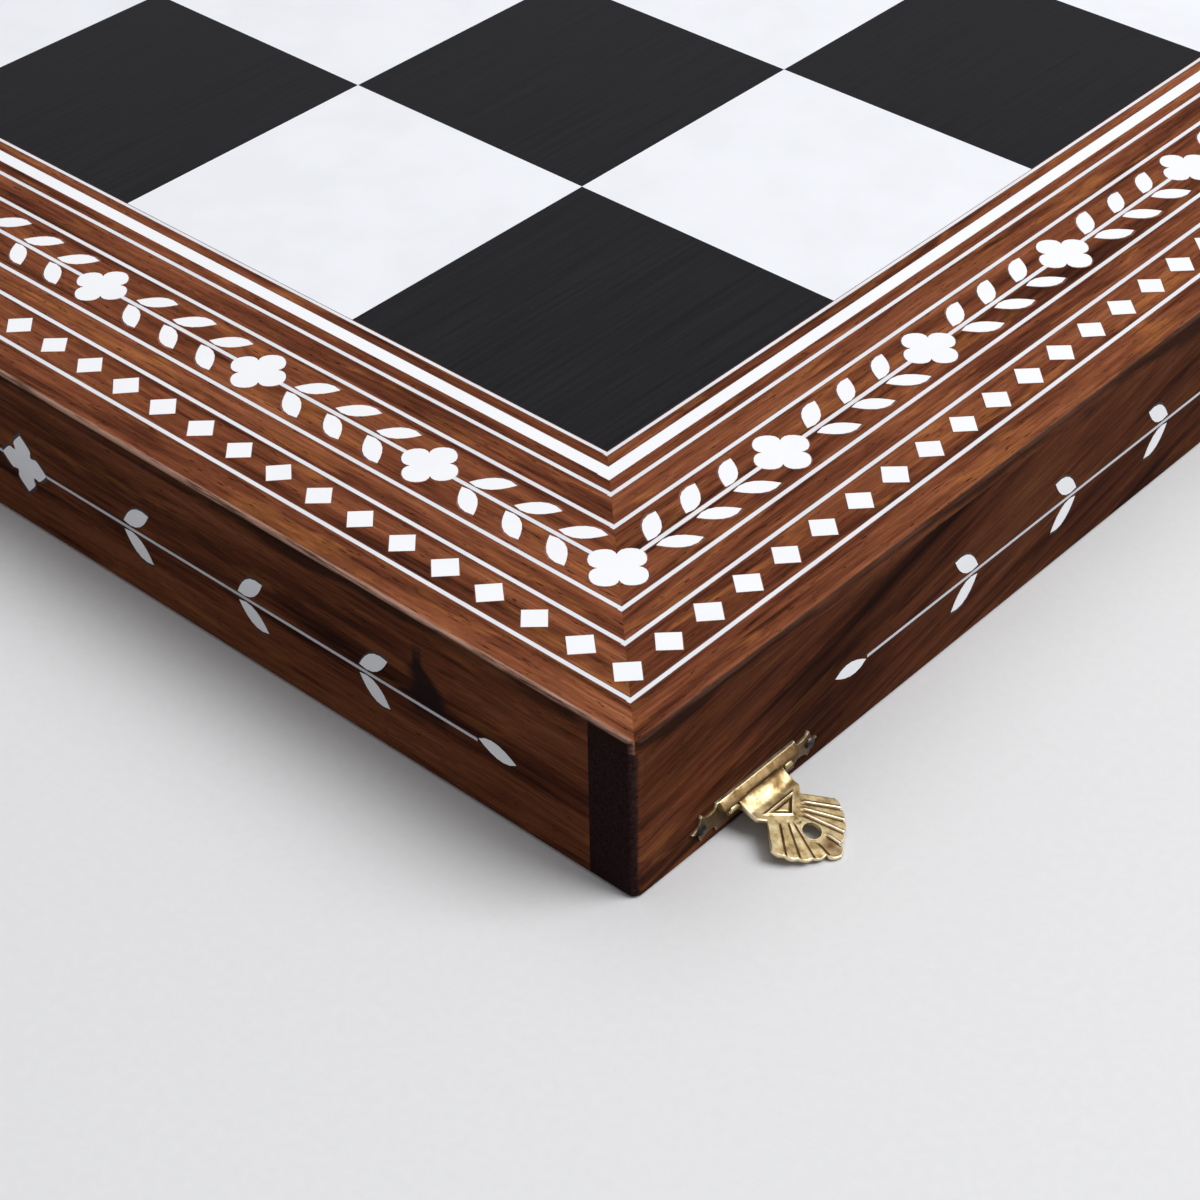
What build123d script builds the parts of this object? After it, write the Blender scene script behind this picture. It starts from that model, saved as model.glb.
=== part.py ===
from build123d import *
import os
from math import asin, cos, degrees, pi, radians, sin

# A folding chess board in two trays, laid open with its playing side up.
# Origin: on the rims' plane, on the fold line, midway along it. X runs from the
# fold to the clasps, Y along the fold, Z up. Sizes are in millimetres.

# Playing field and trays
square = 50.0
squares_across = 8
board_height = 26.6
wall = 7.7
top_layer = 2.2
ply = 4.0
lining_thickness = 0.8
lining_margin = 0.4
fold_gap = 0.3
corner_radius = 1.5
arris = 0.8

# The border, from its outer edge in: bare bands between the centres of its lines
line_width = 0.7
line_depth = 1.2
edge_band = 5.74
diamond_band = 7.69
outer_gap = 4.83
vine_band = 12.13
inner_gap = 5.05
wide_line_gap = 3.37
wide_line_width = 2.1
field_gap = 3.44
field_line_width = 0.55

# Diamonds, flowers and leaves, thin facings with a low crown, glued on the wood
facing = 0.2
diamond_diagonal = 4.95
diamond_pitch = 7.8
flower_reach = 4.66
flower_lobe = 1.6
flower_notch = 2.05
flower_pitch = 34.2
leaf_run = 5.6
leaf_tip_out = 4.2
leaf_base_out = 0.6
leaf_bulge = 1.25
leaf_pairs = 3
leaf_gap = 0.58
leaf_lead = 0.6
fold_margin = 6.0

# Vines on the outer faces
side_vine_height = 11.5
side_pair_pitch = 23.7
side_flower_reach = 5.0
side_flower_notch = 1.75
bud_length = 6.7
bud_gap = 0.6
bud_bulge = 1.2
end_flower = 118.2
end_first_pair = 22.2
end_margin = 15.0
long_first_pair = 28.75
clasp_margin = 2.0
bud_step = 27.0

# Pins, rivets and their bores have flats, so that they take few faces
pin_sides = 12

# Butt hinges let into the rims at the fold
hinge_place = 150.0
hinge_length = 32.0
knuckles = 3
knuckle_gap = 0.2
closing_gap = 0.2
barrel_radius = 1.2
hinge_pin_radius = 0.6
running_clearance = 0.05
barrel_clearance = 0.15
notch_clearance = 0.3
leaf_thickness = 0.7
leaf_reach = 6.6
leaf_clearance = 0.1
screw_spacing = 20.0
screw_offset = 4.0
screw_head_radius = 1.5
screw_shank_radius = 0.75
screw_length = 9.0
screw_sides = 6
seat_clearance = 0.02

# Clasps: a plate with a hood and ears, a pin and a shell shaped hasp
clasp_inset = 23.1
clasp_height = 4.2
clasp_pin_offset = 1.0
clasp_pin_radius = 0.4
hasp_knuckle_radius = 0.8
plate_thickness = 0.5
plate_half_height = 2.3
plate_half_length = 12.75
scroll_start = 8.3
scroll_dip = 1.6
scroll_horn = 10.8
scroll_horn_height = 2.05
hood_half_length = 7.9
hood_height = 0.8
hood_reach = 0.45
hood_lip = 1.35
ear_clearance = 0.05
ear_length = 1.8
window_clearance = 0.2
hasp_thickness = 0.6
tip_clearance = 0.32
tongue_half_width = 4.4
tongue_length = 3.3
waist_half_width = 3.5
waist_place = 4.2
fan_centre = 4.9
fan_radius = 8.0
fan_taper = 0.25
fan_lobe = 0.2
fan_tip = 9.25
tip_half_width = 1.2
tip_corner = 0.8
first_flute = 9.5
flute_step = 14.6
flutes_each_side = 5
flute_width = 0.35
flute_depth = 0.15
flute_start = 2.0
flute_start_by_hole = 5.6
badge_half_width = 2.85
badge_start = 3.2
badge_length = 2.35
badge_rise = 0.25
hasp_hole_radius = 1.25
hasp_hole_place = 9.05

# Catch studs and the tacks that hold the plates
stud_clearance = 0.3
stud_reach = 1.9
stud_bevel = 0.4
rivet_radius = 0.6
tack_place = 11.0
tack_head_radius = 0.95
tack_head_height = 0.5
tack_shank = 0.8
tack_length = 5.0
tack_sides = 6

# Sizes that follow from the ones above
diamond_line_out = edge_band
diamond_line_in = diamond_line_out + diamond_band
vine_line_out = diamond_line_in + outer_gap
vine_line_in = vine_line_out + vine_band
inner_line = vine_line_in + inner_gap
wide_line = inner_line + wide_line_gap
border = wide_line + field_gap
diamond_centre = (diamond_line_out + diamond_line_in) / 2
vine_centre = (vine_line_out + vine_line_in) / 2
half = border + square * squares_across / 2
fold_face = fold_gap / 2
layer_floor = board_height - top_layer
tray_floor = layer_floor - ply
hinge_height = -closing_gap / 2
hinge_places = (-hinge_place, hinge_place)
clasp_axis = half + clasp_pin_offset
clasp_places = (clasp_inset - half, half - clasp_inset)
catch_height = hasp_hole_place - clasp_height - closing_gap
knuckle_length = (hinge_length - (knuckles - 1) * knuckle_gap) / knuckles
leaf_start = barrel_radius + barrel_clearance
ear_radius = clasp_pin_offset - ear_clearance
hood_depth = clasp_pin_offset + hood_reach
hasp_rest_slope = degrees(asin((clasp_height - tip_clearance) / (fan_centre + fan_tip)))
runs = ("long", "front", "back")
halves = {"clasp": 1, "catch": -1}


def block(x0, x1, y0, y1, z0, z1):
    """A box between two corners, given in any order along X and Y."""
    size = Box(abs(x1 - x0), abs(y1 - y0), z1 - z0)
    return Pos((x0 + x1) / 2, (y0 + y1) / 2, (z0 + z1) / 2) * size


def rod_y(x, y0, y1, z, radius):
    """A round rod along Y."""
    return Pos(x, (y0 + y1) / 2, z) * Rot(90, 0, 0) * Cylinder(radius, y1 - y0)


def pin_y(x, y0, y1, z, radius):
    """A thin pin with flats along Y."""
    section = Plane((x, y0, z), x_dir=(1, 0, 0), z_dir=(0, 1, 0))
    return section.location * extrude(RegularPolygon(radius, pin_sides), y1 - y0, dir=(0, 0, 1))


def bored(pin_radius, clearance):
    """The radius over the corners of a bore whose flats clear a pin."""
    return (pin_radius + clearance) / cos(pi / pin_sides)


def prism(corners, thickness):
    """A flat plate with the given corners, standing on the XY plane."""
    return extrude(Polygon(*corners, align=None), thickness, dir=(0, 0, 1))


def crowned(corners):
    """A facing with the given corners on the XY plane, rising a little to its middle."""
    middle = sum((Vector(*corner) for corner in corners), Vector()) / len(corners)
    return loft([Polygon(*corners, align=None), Vertex(middle.X, middle.Y, facing)], ruled=True)


def many(solids):
    """Like pieces of one node, kept as separate solids."""
    return Compound(children=[piece for solid in solids for piece in solid.solids()])


# Outer form and trays

def half_form(side):
    """The outside of one half, with its upright corners rounded and its long arrises eased."""
    form = block(side * fold_face, side * half, -half, half, 0, board_height)
    upright = form.edges().filter_by(Axis.Z)
    form = fillet([edge for edge in upright if abs(edge.center().X) > wall], corner_radius)
    level = form.edges().filter_by(Axis.Z, reverse=True)
    return chamfer([edge for edge in level if abs(edge.center().X) > wall], arris)


def hinge_cuts(side):
    """Rim recesses for the hinge leaves, the notches for their barrels and the screw holes."""
    cuts = []
    for place in hinge_places:
        reach = hinge_length / 2 + leaf_clearance
        cuts.append(block(0, side * (leaf_reach + leaf_clearance), place - reach, place + reach,
                          0, leaf_thickness))
        reach = hinge_length / 2 + notch_clearance
        notch = barrel_radius + notch_clearance
        cuts.append(rod_y(0, place - reach, place + reach, hinge_height, notch))
    for x, y in screw_places(side):
        hole = RegularPolygon(screw_shank_radius + seat_clearance, screw_sides)
        cuts.append(Pos(x, y, 0) * extrude(hole, screw_length + seat_clearance, dir=(0, 0, 1)))
    return cuts


def tack_holes(side, height):
    """Square holes in a long wall for the tacks of its two plates."""
    width = tack_shank + 2 * seat_clearance
    depth = tack_length - plate_thickness
    return [
        block(side * (half - depth), side * half, y - width / 2, y + width / 2,
              height - width / 2, height + width / 2)
        for y in tack_rows()
    ]


def wall_pieces(name, side, form):
    """The four walls of one tray: the long wall runs through and shows its end grain."""
    inner = half - wall
    fold_inner = fold_face + wall
    height = clasp_height if name == "clasp" else catch_height
    long_wall = block(side * inner, side * half, -half, half, 0, layer_floor)
    long_wall = (long_wall & form) - tack_holes(side, height) - side_stems(side, "long")
    hinge_wall = block(side * fold_face, side * fold_inner, -half, half, 0, layer_floor)
    hinge_wall = (hinge_wall & form) - hinge_cuts(side)
    pieces = {"long_wall": long_wall, "hinge_wall": hinge_wall}
    for run, end in (("front", -1), ("back", 1)):
        end_wall = block(side * fold_inner, side * inner, end * inner, end * half, 0, layer_floor)
        pieces[run + "_wall"] = (end_wall & form) - side_stems(side, run)
    return pieces


def panel(side):
    """The plywood panel between the walls that carries the squares."""
    inner = half - wall
    return block(side * (fold_face + wall), side * inner, -inner, inner, tray_floor, layer_floor)


def lining(side):
    """The cloth glued to the tray's floor."""
    inner = half - wall - lining_margin
    fold_inner = fold_face + wall + lining_margin
    return block(side * fold_inner, side * inner, -inner, inner,
                 tray_floor - lining_thickness, tray_floor)


# Border boards, the lines let into them, and the squares

def leg(run, side, outer, inner, low, high):
    """One side of a mitred ring round the outside of a half, between two distances from the edge."""
    far = half - outer
    near = half - inner
    end = 1 if run == "back" else -1
    plan = [(fold_face, end * far), (far, end * far), (near, end * near), (fold_face, end * near)]
    if run == "long":
        plan = [(far, -far), (far, far), (near, near), (near, -near)]
    return Pos(0, 0, low) * prism([(side * x, y) for x, y in plan], high - low)


def line_leg(run, side, centre, width):
    """One length of stringing line, flush with the playing surface."""
    outer = centre - width / 2
    return leg(run, side, outer, outer + width, board_height - line_depth, board_height)


def thin_lines(side):
    """The thin lines round a half, with the line that edges the squares."""
    centres = (diamond_line_out, diamond_line_in, vine_line_out, vine_line_in, inner_line)
    lines = [line_leg(run, side, centre, line_width) for centre in centres for run in runs]
    field_centre = border - field_line_width / 2
    return lines + [line_leg(run, side, field_centre, field_line_width) for run in runs]


def wide_lines(side):
    """The one broad line near the squares."""
    return [line_leg(run, side, wide_line, wide_line_width) for run in runs]


def vine_stems(side):
    """The thin line that strings the border's flowers together."""
    return [line_leg(run, side, vine_centre, line_width) for run in runs]


def border_board(run, side, form):
    """One mitred board of the border, grooved for its lines and rounded over outside."""
    board = leg(run, side, 0, border, layer_floor, board_height) & form
    grooves = (thin_lines(side) + wide_lines(side) + vine_stems(side))
    return board - [groove for groove in grooves if same_run(groove, run, side)]


def same_run(groove, run, side):
    """Whether a line leg lies along the given side of the half."""
    centre = groove.center()
    if run == "long":
        return abs(centre.Y) < square
    return centre.Y > square if run == "back" else centre.Y < -square


def square_blocks(side, dark):
    """The dark or light squares of one half: the corner nearest the clasps is dark."""
    blocks = []
    for column in range(squares_across // 2):
        for row in range(squares_across):
            from_clasps = column if side > 0 else squares_across - 1 - column
            if ((from_clasps + row) % 2 == 0) != dark:
                continue
            x1 = half - border - column * square
            x0 = max(x1 - square, fold_face)
            y0 = row * square - (half - border)
            blocks.append(block(side * x0, side * x1, y0, y0 + square, layer_floor, board_height))
    return blocks


# Motifs of the border and of the outer faces

def diamond_shape():
    """A small square on its point."""
    reach = diamond_diagonal / 2
    return crowned([(reach, 0), (0, reach), (-reach, 0), (0, -reach)])


def four_times(corners):
    """The corners of one quarter of a flower, and the same turned into the other quarters."""
    turned = []
    for quarter in range(4):
        turn = radians(90 * quarter)
        turned += [(x * cos(turn) - y * sin(turn), x * sin(turn) + y * cos(turn)) for x, y in corners]
    return turned


def flower_shape():
    """A flower of four broad lobes with a notch between each two."""
    lobe = [(flower_reach, -flower_lobe), (flower_reach, flower_lobe)]
    return crowned(four_times(lobe + [(flower_notch, flower_notch)]))


def pointed_flower_shape():
    """The outer faces' flower: four pointed petals."""
    return crowned(four_times([(side_flower_reach, 0), (side_flower_notch, side_flower_notch)]))


def blade(base, tip, bulge):
    """A leaf between two points, fuller near its tip on one side and near its base on the other."""
    along = tip - base
    across = Vector(-along.Y, along.X).normalized()
    outer = base + along * 0.64 + across * bulge
    inner = base + along * 0.32 - across * bulge
    return crowned([(p.X, p.Y) for p in (base, inner, tip, outer)])


def leaf_pair():
    """Two leaves, one each side of a stem that runs along +X, with their tips forward."""
    base = Vector(-leaf_run / 2, leaf_base_out)
    tip = Vector(leaf_run / 2, leaf_tip_out)
    leaf = blade(base, tip, leaf_bulge)
    return [leaf, leaf.mirror(Plane.XZ)]


def bud_shape():
    """A single leaf in line with the stem, its tip forward along +X."""
    return blade(Vector(-bud_length / 2, 0), Vector(bud_length / 2, 0), bud_bulge)


def even_step(inset, pitch):
    """The step nearest a pitch that fills a long side from corner to corner."""
    length = 2 * (half - inset)
    return length / round(length / pitch)


def split_step(inset, pitch):
    """The step near a pitch that fills a side with the fold midway between two places."""
    length = 2 * (half - inset)
    return length / (2 * int(length / pitch / 2) + 1)


def run_spots(run, side, inset, step):
    """Places on one side of a half from its first corner on, turned so that X runs along it."""
    reach = half - inset
    if run == "long":
        turn = (0, 0, side * 90)
        places = [index * step - reach for index in range(round(2 * reach / step) + 1)]
        return [Location((side * reach, side * place, board_height), turn) for place in places]
    end = 1 if run == "back" else -1
    turn = (0, 0, 180 if run == "back" else 0)
    places = [reach - index * step for index in range(int((reach - fold_margin / 2) / step) + 1)]
    return [Location((side * place, end * reach, board_height), turn) for place in places]


def motif_spots(side, inset, long_step, end_step):
    """Places on all three sides of a half, with one at each corner."""
    spots = run_spots("long", side, inset, long_step)
    for run in ("front", "back"):
        spots += run_spots(run, side, inset, end_step)[1:]
    return spots


def diamonds(side):
    """The row of diamonds."""
    long_step = even_step(diamond_centre, diamond_pitch)
    end_step = split_step(diamond_centre, diamond_pitch)
    return [spot * diamond_shape() for spot in motif_spots(side, diamond_centre, long_step, end_step)]


def flowers(side):
    """The border's flowers."""
    long_step = even_step(vine_centre, flower_pitch)
    return [spot * flower_shape() for spot in motif_spots(side, vine_centre, long_step, flower_pitch)]


def border_leaves(side):
    """Pairs of leaves between the flowers, all growing one way round the board."""
    leaves = []
    for run in runs:
        step = even_step(vine_centre, flower_pitch) if run == "long" else flower_pitch
        starts = run_spots(run, side, vine_centre, step)
        pair_pitch = (step - 2 * flower_reach - leaf_gap) / leaf_pairs
        onward = side if run == "back" else -side
        if run == "long":
            starts = starts[:-1]
            onward = 1
        for start in starts:
            for pair in range(leaf_pairs):
                along = step / 2 + (pair - (leaf_pairs - 1) / 2) * pair_pitch
                place = start * Pos(onward * along + leaf_lead, 0, 0)
                if side * place.position.X > fold_margin:
                    leaves += [place * leaf for leaf in leaf_pair()]
    return leaves


def face_plane(side, run):
    """An outer face, with X along it and Y up, and its origin at the vine's middle flower."""
    if run == "long":
        return Plane((side * half, 0, side_vine_height), x_dir=(0, side, 0), z_dir=(side, 0, 0))
    end = 1 if run == "back" else -1
    x = side * (half - end_flower)
    return Plane((x, end * half, side_vine_height), x_dir=(-end, 0, 0), z_dir=(0, end, 0))


def side_pairs(run):
    """The distances of the leaf pairs' bases from the middle flower, and of the bud's middle."""
    first = end_first_pair
    room = min(end_flower, half - end_flower) - end_margin
    if run == "long":
        first = long_first_pair
        room = half - clasp_inset - plate_half_length - clasp_margin
    room -= first + bud_step + bud_length / 2
    pairs = [first + index * side_pair_pitch for index in range(int(room / side_pair_pitch) + 1)]
    return pairs, pairs[-1] + bud_step


def side_motifs(side, run):
    """A pointed flower with a vine growing out both ways to a bud."""
    pairs, bud = side_pairs(run)
    motifs = [pointed_flower_shape()]
    for way in (0, 180):
        turn = Rot(0, 0, way)
        motifs.append(turn * Pos(bud, 0, 0) * bud_shape())
        for place in pairs:
            motifs += [turn * Pos(place + leaf_run / 2, 0, 0) * leaf for leaf in leaf_pair()]
    return [face_plane(side, run).location * motif for motif in motifs]


def side_stems(side, run):
    """The two lengths of stem on an outer face, let in flush."""
    bud = side_pairs(run)[1]
    start = side_flower_reach
    end = bud - bud_length / 2 - bud_gap
    return [
        face_plane(side, run).location * Pos(way * (start + end) / 2, 0, -line_depth / 2)
        * Box(end - start, line_width, line_depth)
        for way in (-1, 1)
    ]


# Hinges at the fold

def screw_places(side):
    """Where the screws of one half's hinge leaves stand."""
    return [
        (side * screw_offset, place + row * screw_spacing / 2)
        for place in hinge_places for row in (-1, 1)
    ]


def knuckle_spans(first, step):
    """Start and end along Y of every second knuckle, about the hinge's middle."""
    pitch = knuckle_length + knuckle_gap
    starts = [index * pitch - hinge_length / 2 for index in range(first, knuckles, step)]
    return [(start, start + knuckle_length) for start in starts]


def screw_solid(radius_clearance):
    """A countersunk screw, head down, or the hole for one with some clearance."""
    head = screw_head_radius + radius_clearance
    shank = screw_shank_radius + radius_clearance
    top = RegularPolygon(head, screw_sides)
    low = Pos(0, 0, leaf_thickness) * RegularPolygon(shank, screw_sides)
    return loft([top, low]) + extrude(low, screw_length - leaf_thickness, dir=(0, 0, 1))


def hinge_leaves(side):
    """The brass leaves of one half with their knuckles, bored for the pin."""
    leaves = []
    for place in hinge_places:
        plate = block(side * leaf_start, side * leaf_reach, place - hinge_length / 2,
                      place + hinge_length / 2, 0, leaf_thickness)
        for y0, y1 in knuckle_spans(0 if side > 0 else 1, 2):
            plate += block(0, side * leaf_start, place + y0, place + y1, 0, leaf_thickness)
            plate += rod_y(0, place + y0, place + y1, hinge_height, barrel_radius)
        bore = bored(hinge_pin_radius, running_clearance)
        plate -= pin_y(0, place - hinge_length, place + hinge_length, hinge_height, bore)
        for x, y in screw_places(side):
            if abs(y - place) < hinge_length:
                plate -= Pos(x, y, 0) * screw_solid(seat_clearance)
        leaves.append(plate)
    return leaves


def hinge_screws(side):
    """The screws that hold one half's hinge leaves in the rim."""
    return [Pos(x, y, 0) * screw_solid(0) for x, y in screw_places(side)]


def hinge_pins():
    """The two pins of the fold."""
    reach = hinge_length / 2
    return [
        pin_y(0, place - reach, place + reach, hinge_height, hinge_pin_radius)
        for place in hinge_places
    ]


# Clasps

def on_face(side, y, height):
    """The place of a fitting on a long wall: X out from the wall, Y along it."""
    turn = 0 if side > 0 else 180
    return Location((side * half, y, height), (0, 0, turn))


def tack_rows():
    """Where the plates' tacks stand along Y."""
    return [place + way * tack_place for place in clasp_places for way in (-1, 1)]


def scroll_plate():
    """A brass plate whose two ends are cut to a pair of horns and a point."""
    corner = (scroll_start, plate_half_height)
    dip = ((scroll_start + scroll_horn) / 2, scroll_dip)
    horn = (scroll_horn, scroll_horn_height)
    point = (plate_half_length, 0)
    quarter = make_face([
        Line((0, 0), point), Line(point, horn), ThreePointArc(horn, dip, corner),
        Line(corner, (0, plate_half_height)), Line((0, plate_half_height), (0, 0)),
    ])
    upper = quarter + quarter.mirror(Plane.YZ)
    outline = upper + upper.mirror(Plane.XZ)
    upright = Plane((0, 0, 0), x_dir=(0, 1, 0), z_dir=(1, 0, 0))
    return upright.location * extrude(outline, plate_thickness, dir=(0, 0, 1))


def tack_openings():
    """Square holes for the two tacks of a plate."""
    width = tack_shank + 2 * seat_clearance
    opening = Box(plate_thickness, width, width)
    return [Pos(plate_thickness / 2, way * tack_place, 0) * opening for way in (-1, 1)]


def clasp_plate():
    """The clasp's plate, with a hood sloping out over the pin and an ear at each end of it."""
    plate = scroll_plate() - tack_openings()
    hood = block(0, hood_depth, -hood_half_length, hood_half_length, hood_height, plate_half_height)
    brow = hood.faces().sort_by(Axis.X)[-1].edges().sort_by(Axis.Z)[-1]
    slope = hood.faces().sort_by(Axis.Z)[-1]
    plate += chamfer(brow, hood_depth - plate_thickness, plate_half_height - hood_lip, reference=slope)
    slot = tongue_half_width + window_clearance
    for way in (-1, 1):
        near, far = sorted((way * slot, way * (slot + ear_length)))
        plate += rod_y(clasp_pin_offset, near, far, 0, ear_radius)
    clear = hasp_knuckle_radius + window_clearance
    plate -= rod_y(clasp_pin_offset, -slot, slot, 0, clear)
    plate -= block(0, clasp_pin_offset, -slot, slot, -clear, hood_height)
    bore = bored(clasp_pin_radius, seat_clearance)
    return plate - pin_y(clasp_pin_offset, -slot - ear_length, slot + ear_length, 0, bore)


def clasp_pin():
    """The pin that the hasp turns on."""
    reach = tongue_half_width + window_clearance + ear_length
    return pin_y(clasp_pin_offset, -reach, reach, 0, clasp_pin_radius)


def hasp_outline():
    """The hasp seen from above: a tongue, a waist and a fan with a scalloped edge."""
    def on_fan(index, lobe=0):
        radius = fan_radius - fan_taper * index + lobe
        angle = radians(first_flute + flute_step * index)
        return (fan_centre + radius * cos(angle), radius * sin(angle))
    last = flutes_each_side - 1
    end = fan_centre + fan_tip
    tip = [
        on_fan(0), (end - tip_corner, tip_half_width), (end - tip_corner / 4, tip_half_width / 2), (end, 0),
    ]
    shoulder = (tongue_length, tongue_half_width)
    waist = (waist_place, waist_half_width)
    edges = [
        Line((end, 0), (0, 0)), Line((0, 0), (0, tongue_half_width)), Line((0, tongue_half_width), shoulder),
        Line(shoulder, waist), Line(waist, on_fan(last)), Polyline(*tip),
    ]
    for index in range(last):
        edges.append(ThreePointArc(on_fan(index), on_fan(index + 0.5, fan_lobe), on_fan(index + 1)))
    left_half = make_face(edges)
    return left_half + left_half.mirror(Plane.XZ)


def hasp():
    """The hasp lying along +X from its pin, with its knuckle, badge, flutes and stud hole."""
    sheet = Pos(0, 0, -hasp_thickness / 2) * extrude(hasp_outline(), hasp_thickness, dir=(0, 0, 1))
    sheet += rod_y(0, -tongue_half_width, tongue_half_width, 0, hasp_knuckle_radius)
    badge_end = badge_start + badge_length
    badge = [(badge_start, -badge_half_width), (badge_start, badge_half_width), (badge_end, 0)]
    sheet += Pos(0, 0, hasp_thickness / 2) * prism(badge, badge_rise)
    for way in (-1, 1):
        for index in range(flutes_each_side - 1):
            start = flute_start_by_hole if index == 0 else flute_start
            length = fan_radius - fan_taper * index + fan_lobe - start
            groove = Box(length, flute_width, flute_depth)
            groove = Pos(start + length / 2, 0, (hasp_thickness - flute_depth) / 2) * groove
            angle = way * (first_flute + index * flute_step)
            sheet -= Pos(fan_centre, 0, 0) * Rot(0, 0, angle) * groove
    sheet -= Pos(hasp_hole_place, 0, 0) * Cylinder(hasp_hole_radius, 4 * hasp_thickness)
    bore = bored(clasp_pin_radius, running_clearance)
    return sheet - pin_y(0, -2 * tongue_half_width, 2 * tongue_half_width, 0, bore)


def hasp_at(y):
    """A hasp on its pin, resting with its tip on the ground."""
    return Location((clasp_axis, y, clasp_height), (0, hasp_rest_slope, 0)) * hasp()


def catch_plate():
    """The catch's plate, bored for the stud's rivet."""
    hole = extrude(RegularPolygon(bored(rivet_radius, seat_clearance), pin_sides), plate_thickness)
    return scroll_plate() - tack_openings() - Rot(0, 90, 0) * hole


def catch_stud():
    """The stud that the hasp drops over, with its rivet through the plate."""
    radius = hasp_hole_radius - stud_clearance
    post = Pos(0, 0, plate_thickness + stud_reach / 2) * Cylinder(radius, stud_reach)
    post = chamfer(post.edges().sort_by(Axis.Z)[-1], stud_bevel)
    rivet = extrude(RegularPolygon(rivet_radius, pin_sides), plate_thickness)
    return Rot(0, 90, 0) * (post + rivet)


def tack():
    """A square tack with a faceted head, its head on the plate."""
    low = RegularPolygon(tack_head_radius, tack_sides)
    high = Pos(0, 0, tack_head_height) * RegularPolygon(tack_head_radius / 2, tack_sides)
    head = Pos(0, 0, plate_thickness) * loft([low, high])
    shank = Pos(0, 0, plate_thickness - tack_length / 2) * Box(tack_shank, tack_shank, tack_length)
    return Rot(0, 90, 0) * (head + shank)


def fittings(side, height, shape):
    """The same fitting at both ends of a long wall."""
    return [on_face(side, place, height) * shape for place in clasp_places]


def tacks(side, height):
    """The tacks of both plates on a long wall."""
    return [on_face(side, row, height) * tack() for row in tack_rows()]


# All nodes

def nodes():
    """Every node of the board by name."""
    made = {}
    for name, side in halves.items():
        form = half_form(side)
        for piece, solid in wall_pieces(name, side, form).items():
            made[f"{name}_half_{piece}"] = solid
        for run in runs:
            made[f"{name}_half_border_{run}"] = border_board(run, side, form)
        made[f"{name}_half_panel"] = panel(side)
        made[f"{name}_half_lining"] = lining(side)
        made[f"{name}_half_dark_squares"] = many(square_blocks(side, True))
        made[f"{name}_half_light_squares"] = many(square_blocks(side, False))
        made[f"{name}_half_thin_lines"] = many(thin_lines(side))
        made[f"{name}_half_wide_line"] = many(wide_lines(side))
        stems = vine_stems(side) + [stem for run in runs for stem in side_stems(side, run)]
        made[f"{name}_half_vine_stems"] = many(stems)
        made[f"{name}_half_diamonds"] = many(diamonds(side))
        made[f"{name}_half_flowers"] = many(flowers(side))
        made[f"{name}_half_leaves"] = many(border_leaves(side))
        motifs = [motif for run in runs for motif in side_motifs(side, run)]
        made[f"{name}_half_side_vines"] = many(motifs)
        made[f"{name}_hinge_leaves"] = many(hinge_leaves(side))
        made[f"{name}_hinge_screws"] = many(hinge_screws(side))
    made["hinge_pins"] = many(hinge_pins())
    made["clasp_plates"] = many(fittings(1, clasp_height, clasp_plate()))
    made["clasp_pins"] = many(fittings(1, clasp_height, clasp_pin()))
    made["clasp_tacks"] = many(tacks(1, clasp_height))
    made["hasp_front"] = hasp_at(clasp_places[0])
    made["hasp_back"] = hasp_at(clasp_places[1])
    made["catch_plates"] = many(fittings(-1, catch_height, catch_plate()))
    made["catch_studs"] = many(fittings(-1, catch_height, catch_stud()))
    made["catch_tacks"] = many(tacks(-1, catch_height))
    return made


os.makedirs("parts", exist_ok=True)
for node, shape in nodes().items():
    export_step(shape, f"parts/{node}.step")
    print(node, len(shape.solids()), round(shape.volume, 2))
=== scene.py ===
from math import cos, pi, radians, sin, sqrt

import bmesh
import bpy
from mathutils import Matrix, Vector, kdtree, noise


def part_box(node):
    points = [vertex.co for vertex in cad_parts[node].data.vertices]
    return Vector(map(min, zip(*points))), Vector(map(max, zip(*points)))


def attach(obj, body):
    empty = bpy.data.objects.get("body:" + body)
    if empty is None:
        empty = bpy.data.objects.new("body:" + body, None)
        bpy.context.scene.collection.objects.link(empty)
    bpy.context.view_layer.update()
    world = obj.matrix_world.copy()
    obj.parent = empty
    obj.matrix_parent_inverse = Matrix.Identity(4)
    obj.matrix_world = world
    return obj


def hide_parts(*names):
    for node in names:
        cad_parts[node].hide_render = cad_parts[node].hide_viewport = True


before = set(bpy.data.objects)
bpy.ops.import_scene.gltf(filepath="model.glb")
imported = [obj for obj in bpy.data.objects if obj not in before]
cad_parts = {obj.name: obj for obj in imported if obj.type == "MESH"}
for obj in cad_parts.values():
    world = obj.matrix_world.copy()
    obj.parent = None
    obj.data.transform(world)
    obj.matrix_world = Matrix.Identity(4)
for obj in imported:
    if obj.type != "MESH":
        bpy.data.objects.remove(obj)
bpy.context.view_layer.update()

mm = 0.001


# The camera of the photograph: it looks down on the board's near corner, the one with a
# clasp, from about a third of a metre, with a long lens and a slight tilt of the hand.
camera_place = Vector((407.93, -428.90, 250.73)) * mm
camera_heading = 132.489
camera_dip = 38.951
camera_roll = -0.886

camera_data = bpy.data.cameras.new("photo_camera")
camera_data.lens = 83.94
camera_data.sensor_width = 36
camera_data.clip_start = 0.01


def stand(name, data):
    """A new object with its data, linked to the scene."""
    made = bpy.data.objects.new(name, data)
    bpy.context.scene.collection.objects.link(made)
    return made


camera = stand("photo_camera", camera_data)
camera.matrix_world = (
    Matrix.Translation(camera_place)
    @ Matrix.Rotation(radians(camera_heading - 90), 4, "Z")
    @ Matrix.Rotation(radians(90 - camera_dip), 4, "X")
    @ Matrix.Rotation(radians(camera_roll), 4, "Z")
)
bpy.context.scene.camera = camera


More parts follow.
